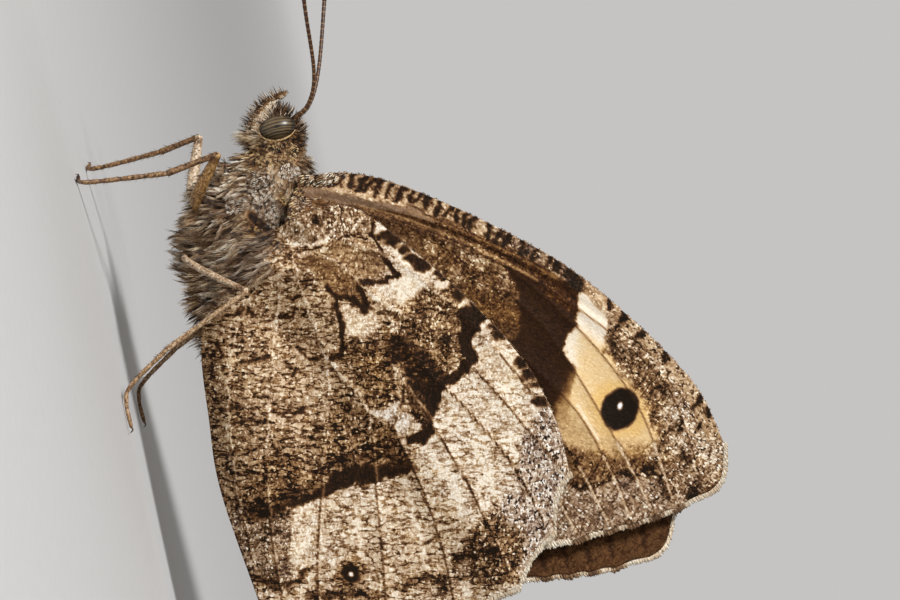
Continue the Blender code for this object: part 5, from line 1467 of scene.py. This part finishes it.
x, y, z = skin_points.T
on_palp, on_foreleg = on_pair(PALP_PATH, 0.62, 0.48), on_pair(FORELEG_PATH, 0.5, 0.38)
brush = on_palp * smoothstep(*BRUSH_FROM, x)
REGIONS = {
    "coat_head": (x > NECK_X, 2.2, 201),
    "coat_thorax_left": ((x <= NECK_X) & (x > WAIST_X) & (y > 0), 2.8, 202),
    "coat_thorax_right": ((x <= NECK_X) & (x > WAIST_X) & (y <= 0), 2.8, 203),
    "coat_abdomen": (x <= WAIST_X, 1.8, 204),
}


def planted_region(name, mask, per_square, seed, kind, finish, lie_there=None, **changes):
    """Tufts on a part of the skin, with some of its layers changed."""
    changed = {**layers, **changes}
    changed["density"] = changed["density"] * mask
    surface = (skin_points, skin_faces, lie if lie_there is None else lie_there, skin_normals, changed)
    tufted(name, surface, kind, finish, COAT_TURN, seed, per_square)


for name, (mask, per_square, seed) in REGIONS.items():
    planted_region(name, mask * (1 - brush) * (1 - layers["bare"]), per_square, seed, "hair", hair_finish,
                   long=layers["long"] * (1 - FORELEG_TRIM * on_foreleg))

# %% Bristles of face and palps
def leaning(direction, share):
    """Straight out of the skin, leaning some way toward a direction of the frame."""
    return unit(skin_normals + share * np.array(direction))


even = np.ones(len(skin_points))
for side, sign in SIDES.items():
    planted_region(f"scales_body_{side}", layers["scaly"] * (y * sign > 0), 1.0, 215, "scale", scale_finish,
                   density=even * 110.0, long=even * 0.24, wide=even * 0.095, lift=even * 0.06)
path_x = np.interp(z, [place[2] for place in PALP_PATH], [place[0] for place in PALP_PATH])
above = x - path_x  # over the palp's middle line, on the side away from the eye
stripe = 0.84 - 0.50 * smoothstep(-0.06, 0.02, above) - 0.20 * smoothstep(0.22, 0.30, above)
rust = 0.10 + 0.75 * smoothstep(-0.06, 0.02, above) * smoothstep(0.30, 0.22, above)
face = smoothstep(0.6, 1.6, x) * smoothstep(12.2, 13.0, z) * (1 - on_palp)
crown = smoothstep(-0.6, 0.3, x) * smoothstep(13.4, 13.9, z) * (1 - on_palp)
planted_region("bristles_palps", brush, 1.0, 211, "bristle", bristle_finish,
               leaning((0.6, 0.0, -0.5), 0.9), density=34.0 * smoothstep(-0.10, 0.10, above),
               long=even * 0.66, wide=even * 0.06, lift=even * 0.2, tone=even * 0.42, warmth=even * 0.0)
planted_region("scales_palps", on_palp, 1.0, 212, "scale", fringe_finish,
               leaning((0.7, 0.0, 0.8), 6.0), density=even * 95.0, long=even * 0.24, wide=even * 0.09,
               lift=even * 0.04, tone=stripe, warmth=rust)
planted_region("bristles_face", np.maximum(face, crown), 1.0, 213, "bristle", bristle_finish,
               leaning((0.6, 0.0, 0.4), 0.8), density=even * 30.0, long=even * 0.7, wide=even * 0.07,
               lift=even * 0.2, tone=even * 0.30, warmth=even * 0.0)

# %% [markdown]
# ### Fur over the roots of the wings
# The wings don't leave the body at a clean edge: hair of the thorax grows on over the root of the hindwing,
# and short mottled scales cover the forewing's. Both are planted on a spare copy of the wing's outer face, a
# little way past its edge, and point the way of the thorax's coat.

# %% Plant the wings' roots
WING_ROOTS = {
    "hindwing": dict(tufts="hair", finish=hair_finish, turn=203, long=1.15, wide=0.15, lift=0.16,
                     density=30.0, tone=0.58, warmth=0.0),
    "forewing": dict(tufts="scale", finish=scale_finish, turn=215, long=0.34, wide=0.13, lift=0.2,
                     density=75.0, tone=0.52, warmth=0.3),
}
ROOT_STEP = 2


def root_cover(kind, p, q):
    """Where the coat grows over a wing: on a strip along its root."""
    if kind == "hindwing":
        return smoothstep(0.9, -0.4, p + 0.35 * cloud(p / 0.7, q / 0.7, 81)) * smoothstep(0.1, 0.7, q)
    return smoothstep(1.7, 0.6, p + 0.4 * cloud(p / 0.6, q / 0.6, 82)) * smoothstep(2.8, 2.0, q)


def wing_root(kind, wing, side):
    grid = grids[kind][::ROOT_STEP, ::ROOT_STEP]
    rows, columns = grid.shape[:2]
    p, q = grid.reshape(-1, 2).T
    wing_x, wing_z = to_frame(p, q, wing, side)
    level = wing_level(wing_x, wing_z, wing, side) + SKIN_HALF + 0.02
    points = np.stack((wing_x, SIDES[side] * level, wing_z), axis=1)
    cover = root_cover(kind, p, q)
    _, quads = grid_faces(rows, columns)
    faces = quads[cover[quads].max(axis=1) > 0.01].tolist()
    look = WING_ROOTS[kind]
    outward = np.tile((0.0, float(SIDES[side]), 0.0), (len(points), 1))
    turn = look["turn"] + 22 * cloud(wing_x / 0.9, wing_z / 0.9, 83)
    lie_there = picture_direction(turn) + 0.15 * outward
    one = np.ones(len(points))
    mottle = cloud(wing_x / 0.35, wing_z / 0.35, 84)
    values = {label: one * look[label] for label in ("long", "wide", "lift")}
    values.update(density=look["density"] * cover, tone=look["tone"] + 0.12 * mottle,
                  warmth=look["warmth"] + 0.4 * cloud(wing_x / 0.5, wing_z / 0.5, 85))
    tufted(f"root_{kind}_{side}", (points, faces, lie_there, outward, values), look["tufts"], look["finish"],
           COAT_TURN, 221)


for side in SIDES:
    for kind, wing in WINGS.items():
        wing_root(kind, wing, side)

# %% [markdown]
# ## Eyes
# A compound eye is a dome of some thousand lenses. The dome is an ellipsoid, longer across the head than
# along it. It is olive-brown with thin dark rows, and the darkest spot is where the lenses face the viewer;
# on a still model it is painted on. A pale rim of skin runs round its lower edge.

# %% Eye
EYE_CENTRE, EYE_HALF = (0.63, 0.95, 12.6), (0.76, 0.8, 1.12)
# Dark rows: distance from the middle toward the brow, half width, darkness, all for a dome of size 1.
EYE_ROWS = ((0.62, 0.035, 0.55), (0.36, 0.045, 0.75), (0.06, 0.05, 0.85), (-0.14, 0.035, 0.55),
            (-0.40, 0.05, 0.8), (-0.62, 0.05, 0.6))

eye_finish, graph, shader = material("Compound eye", Roughness=0.34, Coat_Weight=0.25, Coat_Roughness=0.2,
                                     Specular_IOR_Level=0.4)
rise, run, round_dome = graph.parts("paint")
where = graph.place()
lenses = graph.add("ShaderNodeTexVoronoi", {"voronoi_dimensions": "3D"},
                   {"Vector": where, "Scale": 34000.0, "Randomness": 0.15})["Distance"]
ragged = graph.noise(where, 3800.0)
arched = rise + run * run * 0.22 + (ragged - 0.5) * 0.10
# Painted shade: the dome grows darker toward its outline as seen from the side, where it curves away.
eye_tone = 0.66 + (ragged - 0.5) * 0.25 - round_dome.step(0.72, 1.0) * 0.40
for number, (offset, half, depth) in enumerate(EYE_ROWS):
    gaps = (run * 5.0 + number * 2.1).maths("SINE") * 0.45 + 0.75
    eye_tone = eye_tone - arched.away(offset).step(half * 1.7, half * 0.5) * gaps.kept() * depth * 0.6
pupil = (run * 6.0) * (run * 6.0) + (rise * 9.0 - 0.5) * (rise * 9.0 - 0.5)
eye_tone = eye_tone - pupil.step(1.6, 0.4) * 0.7
feed(graph, shader, Base_Color=graph.ramp((eye_tone + lenses * -0.15).kept(),
                                          [(0.0, (0.010, 0.007, 0.005)), (0.3, (0.038, 0.024, 0.013)),
                                           (0.55, (0.125, 0.084, 0.038)), (0.8, (0.220, 0.156, 0.080)),
                                           (1.0, (0.410, 0.300, 0.160))]),
     Normal=graph.bump(0.35, 0.00001, lenses * -1.0))


def dome(centre, halves, rings=48, sides=72):
    """A closed ellipsoid with its poles at the ends of z."""
    points = [(centre[0] + halves[0] * math.sin(a) * math.cos(b),
               centre[1] + halves[1] * math.sin(a) * math.sin(b), centre[2] - halves[2] * math.cos(a))
              for a in np.linspace(0, math.pi, rings + 2)[1:-1] for b in np.arange(sides) * math.tau / sides]
    points += [(centre[0], centre[1], centre[2] - halves[2]), (centre[0], centre[1], centre[2] + halves[2])]
    return np.array(points), [face[::-1] for face in ring_faces(rings, sides)]


for side, sign in SIDES.items():
    centre = np.array(EYE_CENTRE) * (1, sign, 1)
    points, faces = dome(centre, EYE_HALF)
    rise, run = (points[:, 0] - centre[0]) / EYE_HALF[0], (points[:, 2] - centre[2]) / EYE_HALF[2]
    paint = np.stack((rise, run, np.hypot(rise, run)), axis=1)
    eye = mesh_piece(f"eye_dome_{side}", points, faces, {"paint": paint}, eye_finish)
    settle(eye, [f"eye_{side}"])

# %% [markdown]
# ## Antennae and legs
# Both are horny tubes. An antenna is a shaft of some forty short rings, dark with a pale foot to each ring,
# that swells into a flattened club. A leg has a stout femur, a thinner tibia, both set with short spines,
# and a tarsus of five joints that ends in two claws. The tubes follow the CAD part's own paths.

# %% Horn finish
def horn(name, roughness, **constants):
    """Horn coloured from tone and warmth at each point, with fine grain along it."""
    made, graph, shader = material(name, Roughness=roughness, Specular_IOR_Level=0.4, **constants)
    tone, warmth, flecks = graph.parts("paint")
    where = graph.place()
    grain = graph.noise(where, 14000.0)
    mottle = graph.add("ShaderNodeTexVoronoi", None, {"Vector": where, "Scale": 11000.0})
    single = graph.add("ShaderNodeSeparateXYZ", None, {0: mottle["Color"]})["X"]
    shade = (tone + (grain - 0.5) * 0.25 + (single - 0.5) * flecks).kept()
    feed(graph, shader, Base_Color=tinted(graph, shade, warmth),
         Normal=graph.bump(0.5, 0.00002, grain + mottle["Distance"] * 0.6))
    return made


antenna_finish = horn("Antenna horn", 0.4)
leg_finish = horn("Leg horn", 0.45)

# %% Rims of the eyes
RIM_FROM, RIM_TO = 118.0, 262.0  # degrees round the dome, from the feet's side of it to the wings'
RIM_OUT = 1.06

for side, sign in SIDES.items():
    turns = np.radians(np.linspace(RIM_FROM, RIM_TO, 15))
    path = [(EYE_CENTRE[0] + EYE_HALF[0] * RIM_OUT * math.cos(a), sign * (EYE_CENTRE[1] + 0.22),
             EYE_CENTRE[2] + EYE_HALF[2] * RIM_OUT * math.sin(a)) for a in turns]
    points, faces = tube_form(path, (0.02, 0.06, 0.07, 0.06, 0.02), sides=10, spacing=0.06)
    paint = np.tile((0.70, 0.65, 0.25), (len(points), 1))
    settle(mesh_piece(f"eye_rim_{side}", points, faces, {"paint": paint}, leg_finish), [])

# %% Antennae
ANTENNA_PATHS = {
    "left": ((0.95, 0.4, 13.7), (1.7, 0.7, 14.8), (3.6, 1.4, 15.55), (8.1, 2.9, 15.9), (13.9, 4.6, 16.7)),
    "right": ((0.95, 0.4, 13.7), (1.7, 0.7, 14.8), (3.6, 1.4, 15.75), (7.5, 2.7, 16.9), (13.2, 4.4, 18.4)),
}
ANTENNA_RADII = (0.18, 0.13, 0.12, 0.12, 0.12, 0.12, 0.13, 0.20, 0.36, 0.38, 0.16)
ANTENNA_RINGS = 42

for side, sign in SIDES.items():
    path = mirrored(ANTENNA_PATHS[side], sign)
    points, faces = tube_form(path, ANTENNA_RADII, sides=14, spacing=0.045,
                              bumps=lambda s: 0.94 + 0.10 * np.abs(np.sin(s * math.pi * ANTENNA_RINGS)))
    run = nearest(points, spline(path, 0.1))[1]
    foot = np.abs(np.sin(run * math.pi * ANTENNA_RINGS))
    tone = 0.24 - 0.08 * run + 0.34 * smoothstep(0.26, 0.08, foot) * (run < 0.85)
    paint = np.stack((tone, 0.6 - 0.3 * run, np.full(len(run), 0.1)), axis=1)
    settle(mesh_piece(f"antenna_ringed_{side}", points, faces, {"paint": paint}, antenna_finish),
           [f"antenna_{side}"])

# %% Legs
LEGS = {
    ("midleg", "left"): (((-3.3, 1.1, 6.7), (-2.5, 1.9, 6.9), (-0.32, 3.3, 8.71)),
                         ((-0.32, 3.3, 8.71), (-0.85, 3.9, 5.48)),
                         ((-0.85, 3.9, 5.48), (-0.5, 4.5, 1.5), (-0.3, 4.95, 0.24), (0.0, 6.2, 0.24))),
    ("midleg", "right"): (((-3.1, 1.1, 6.7), (-2.0, 1.9, 6.5), (1.26, 3.3, 7.52)),
                          ((1.26, 3.3, 7.52), (0.86, 3.9, 4.95)),
                          ((0.86, 3.9, 4.95), (0.72, 4.5, 1.5), (0.8, 4.95, 0.24), (1.1, 6.2, 0.24))),
    ("hindleg", "left"): (((-6.0, 1.4, 5.3), (-6.4, 2.5, 5.55), (-7.6, 3.8, 6.95), (-8.93, 4.55, 8.79)),
                          ((-8.93, 4.55, 8.79), (-11.4, 5.3, 3.3)),
                          ((-11.4, 5.3, 3.3), (-13.1, 5.8, 0.75), (-14.1, 6.0, 0.24), (-15.6, 6.2, 0.24))),
}
LEGS["hindleg", "right"] = LEGS["hindleg", "left"]
LEG_RADII = {
    "midleg": {"femur": (0.30, 0.40, 0.36, 0.25), "tibia": (0.19, 0.18, 0.21),
               "tarsus": (0.16, 0.15, 0.14, 0.12)},
    "hindleg": {"femur": (0.20, 0.22, 0.22, 0.17), "tibia": (0.16, 0.15, 0.17),
                "tarsus": (0.15, 0.14, 0.13, 0.12)},
}
LEG_TONES = {
    "midleg": {"femur": (0.52, 0.85), "tibia": (0.36, 0.45), "tarsus": (0.42, 0.45)},
    "hindleg": {"femur": (0.62, 0.05), "tibia": (0.56, 0.25), "tarsus": (0.50, 0.30)},
}
FAR_FEMUR = (0.66, 0.05)
TARSUS_JOINTS = 5


def leg_form(kind, side):
    """The three parts of one leg, its claws, and the tones at its points."""
    sign, forms, tones = SIDES[side], [], []
    for part, path in zip(("femur", "tibia", "tarsus"), LEGS[kind, side]):
        path = mirrored(path, sign)
        joints = TARSUS_JOINTS if part == "tarsus" else 0
        points, faces = tube_form(
            path, LEG_RADII[kind][part], sides=16, spacing=0.06,
            bumps=(lambda s: 0.86 + 0.22 * np.abs(np.sin(s * math.pi * joints)) ** 0.6) if joints else None)
        run = nearest(points, spline(path, 0.1))[1]
        tone, warmth = LEG_TONES[kind][part]
        if (kind, side, part) == ("midleg", "right", "femur"):
            tone, warmth = FAR_FEMUR
        # The pale tip of each femur is a painted highlight, where the knee shines; before it lies a darker
        # band.
        knee_band_and_highlight = 0.30 * smoothstep(0.96, 0.99, run) - 0.20 * smoothstep(0.84, 0.95, run)
        shade = tone + knee_band_and_highlight * (part == "femur")
        if joints:
            shade = shade - 0.15 * smoothstep(0.25, 0.05, np.abs(np.sin(run * math.pi * joints)))
        forms.append((points, faces))
        tones.append(np.stack((shade * np.ones(len(points)), np.full(len(points), warmth),
                               np.full(len(points), 0.35)), axis=1))
    before, end = (np.array(place) for place in mirrored(LEGS[kind, side][2][-2:], sign))
    ahead = unit(end - before)
    beside = np.cross(ahead, (0.0, 0.0, 1.0))
    for turn in (-1, 1):
        claw = (end, end + ahead * 0.18 + beside * turn * 0.07 + (0, 0, 0.06),
                end + ahead * 0.34 + beside * turn * 0.10 - (0, 0, 0.12))
        points, faces = tube_form(tuple(map(tuple, claw)), (0.05, 0.04, 0.012), sides=8, spacing=0.05)
        forms.append((points, faces))
        tones.append(np.tile((0.15, 0.5, 0.1), (len(points), 1)))
    points, faces = joined(forms)
    return points, faces, np.vstack(tones)


SPINES = {"midleg": (14.0, 0.30, 0.26), "hindleg": (12.0, 0.26, 0.22)}  # per square mm, length, tone
SPINES_ABOVE = (0.4, 1.0)  # height over the floor where they begin, and where they are at full number

for kind, side in LEGS:
    points, faces, paint = leg_form(kind, side)
    leg = mesh_piece(f"{kind}_spiny_{side}", points, faces, {"paint": paint}, leg_finish)
    settle(leg, [f"{kind}_{part}_{side}" for part in ("femur", "tibia", "tarsus")])
    normals = numbers_of(leg.data.vertices, "normal")
    density, long, tone = SPINES[kind]
    spine_lie = unit(normals * 0.8 + (-0.15, 0.0, -1.0))
    one = np.ones(len(points))
    values = {"long": one * long, "wide": one * 0.045, "lift": one * 0.1, "tone": one * tone,
              "warmth": one * 0.3, "density": density * smoothstep(*SPINES_ABOVE, points[:, 2])}
    tufted(f"{kind}_spines_{side}", (points, faces, spine_lie, normals, values), "bristle", hair_finish, 0.4,
           301)

# %% [markdown]
# ## Fringes
# Every wing ends in a fringe of longer scales that stand out from its margin, cream, and on the forewing
# dark where a vein ends. Shorter ones follow the leading edge. They are planted on a narrow ribbon that is
# laid along the margin for the purpose and thrown away after.

# %% Plant the fringes
RIBBON = 0.10
FRINGE_TURN = 0.12
FRINGES = {"outer": (0.38, 0.21, 330.0), "costa": (0.11, 0.10, 90.0)}  # length, width, scales per square mm


def fringe(kind, wing, side, edge):
    """Scales along one edge of a wing."""
    grid = grids[kind]
    line = grid[-1] if edge == "outer" else grid[:, 0]
    inside = grid[-6] if edge == "outer" else grid[:, 4]
    outward = unit(line - inside)
    strip = np.concatenate((line - outward * RIBBON, line + outward * 0.01))
    x, z = to_frame(strip[:, 0], strip[:, 1], wing, side)
    y = SIDES[side] * wing_level(x, z, wing, side)
    points = np.stack((x, y, z), axis=1)
    count = len(line)
    faces = [(k, k + 1, k + 1 + count, k + count) for k in range(count - 1)]
    tip_x, tip_z = to_frame(*(strip + np.concatenate((outward, outward))).T, wing, side)
    lie = unit(np.stack((tip_x - x, np.zeros(len(x)), tip_z - z), axis=1))
    away = np.min([np.linalg.norm(strip - np.array(tooth), axis=1) for tooth in wing["teeth"]], axis=0)
    long, wide, density = FRINGES[edge]
    one = np.ones(len(points))
    noise = cloud(strip[:, 0] * 1.6, strip[:, 1] * 1.6, 91)
    tone = 0.88 + 0.06 * noise
    if edge == "costa":
        tone = 0.45 + 0.30 * noise
    elif kind == "forewing":
        tone = tone - 0.50 * smoothstep(0.75, 0.35, away) * (noise > -0.4)
    values = {"long": one * long, "wide": one * wide, "lift": one * 0.12, "density": one * density,
              "tone": tone, "warmth": one * 0.15}
    out = np.tile((0.0, float(SIDES[side]), 0.0), (len(points), 1))
    tufted(f"fringe_{kind}_{edge}_{side}", (points, faces, lie, out, values), "scale", fringe_finish,
           FRINGE_TURN, 401)


for side in SIDES:
    for kind, wing in WINGS.items():
        for edge in FRINGES:
            fringe(kind, wing, side, edge)

for shapes in TUFTS.values():
    for shape in shapes:
        bpy.data.objects.remove(shape)
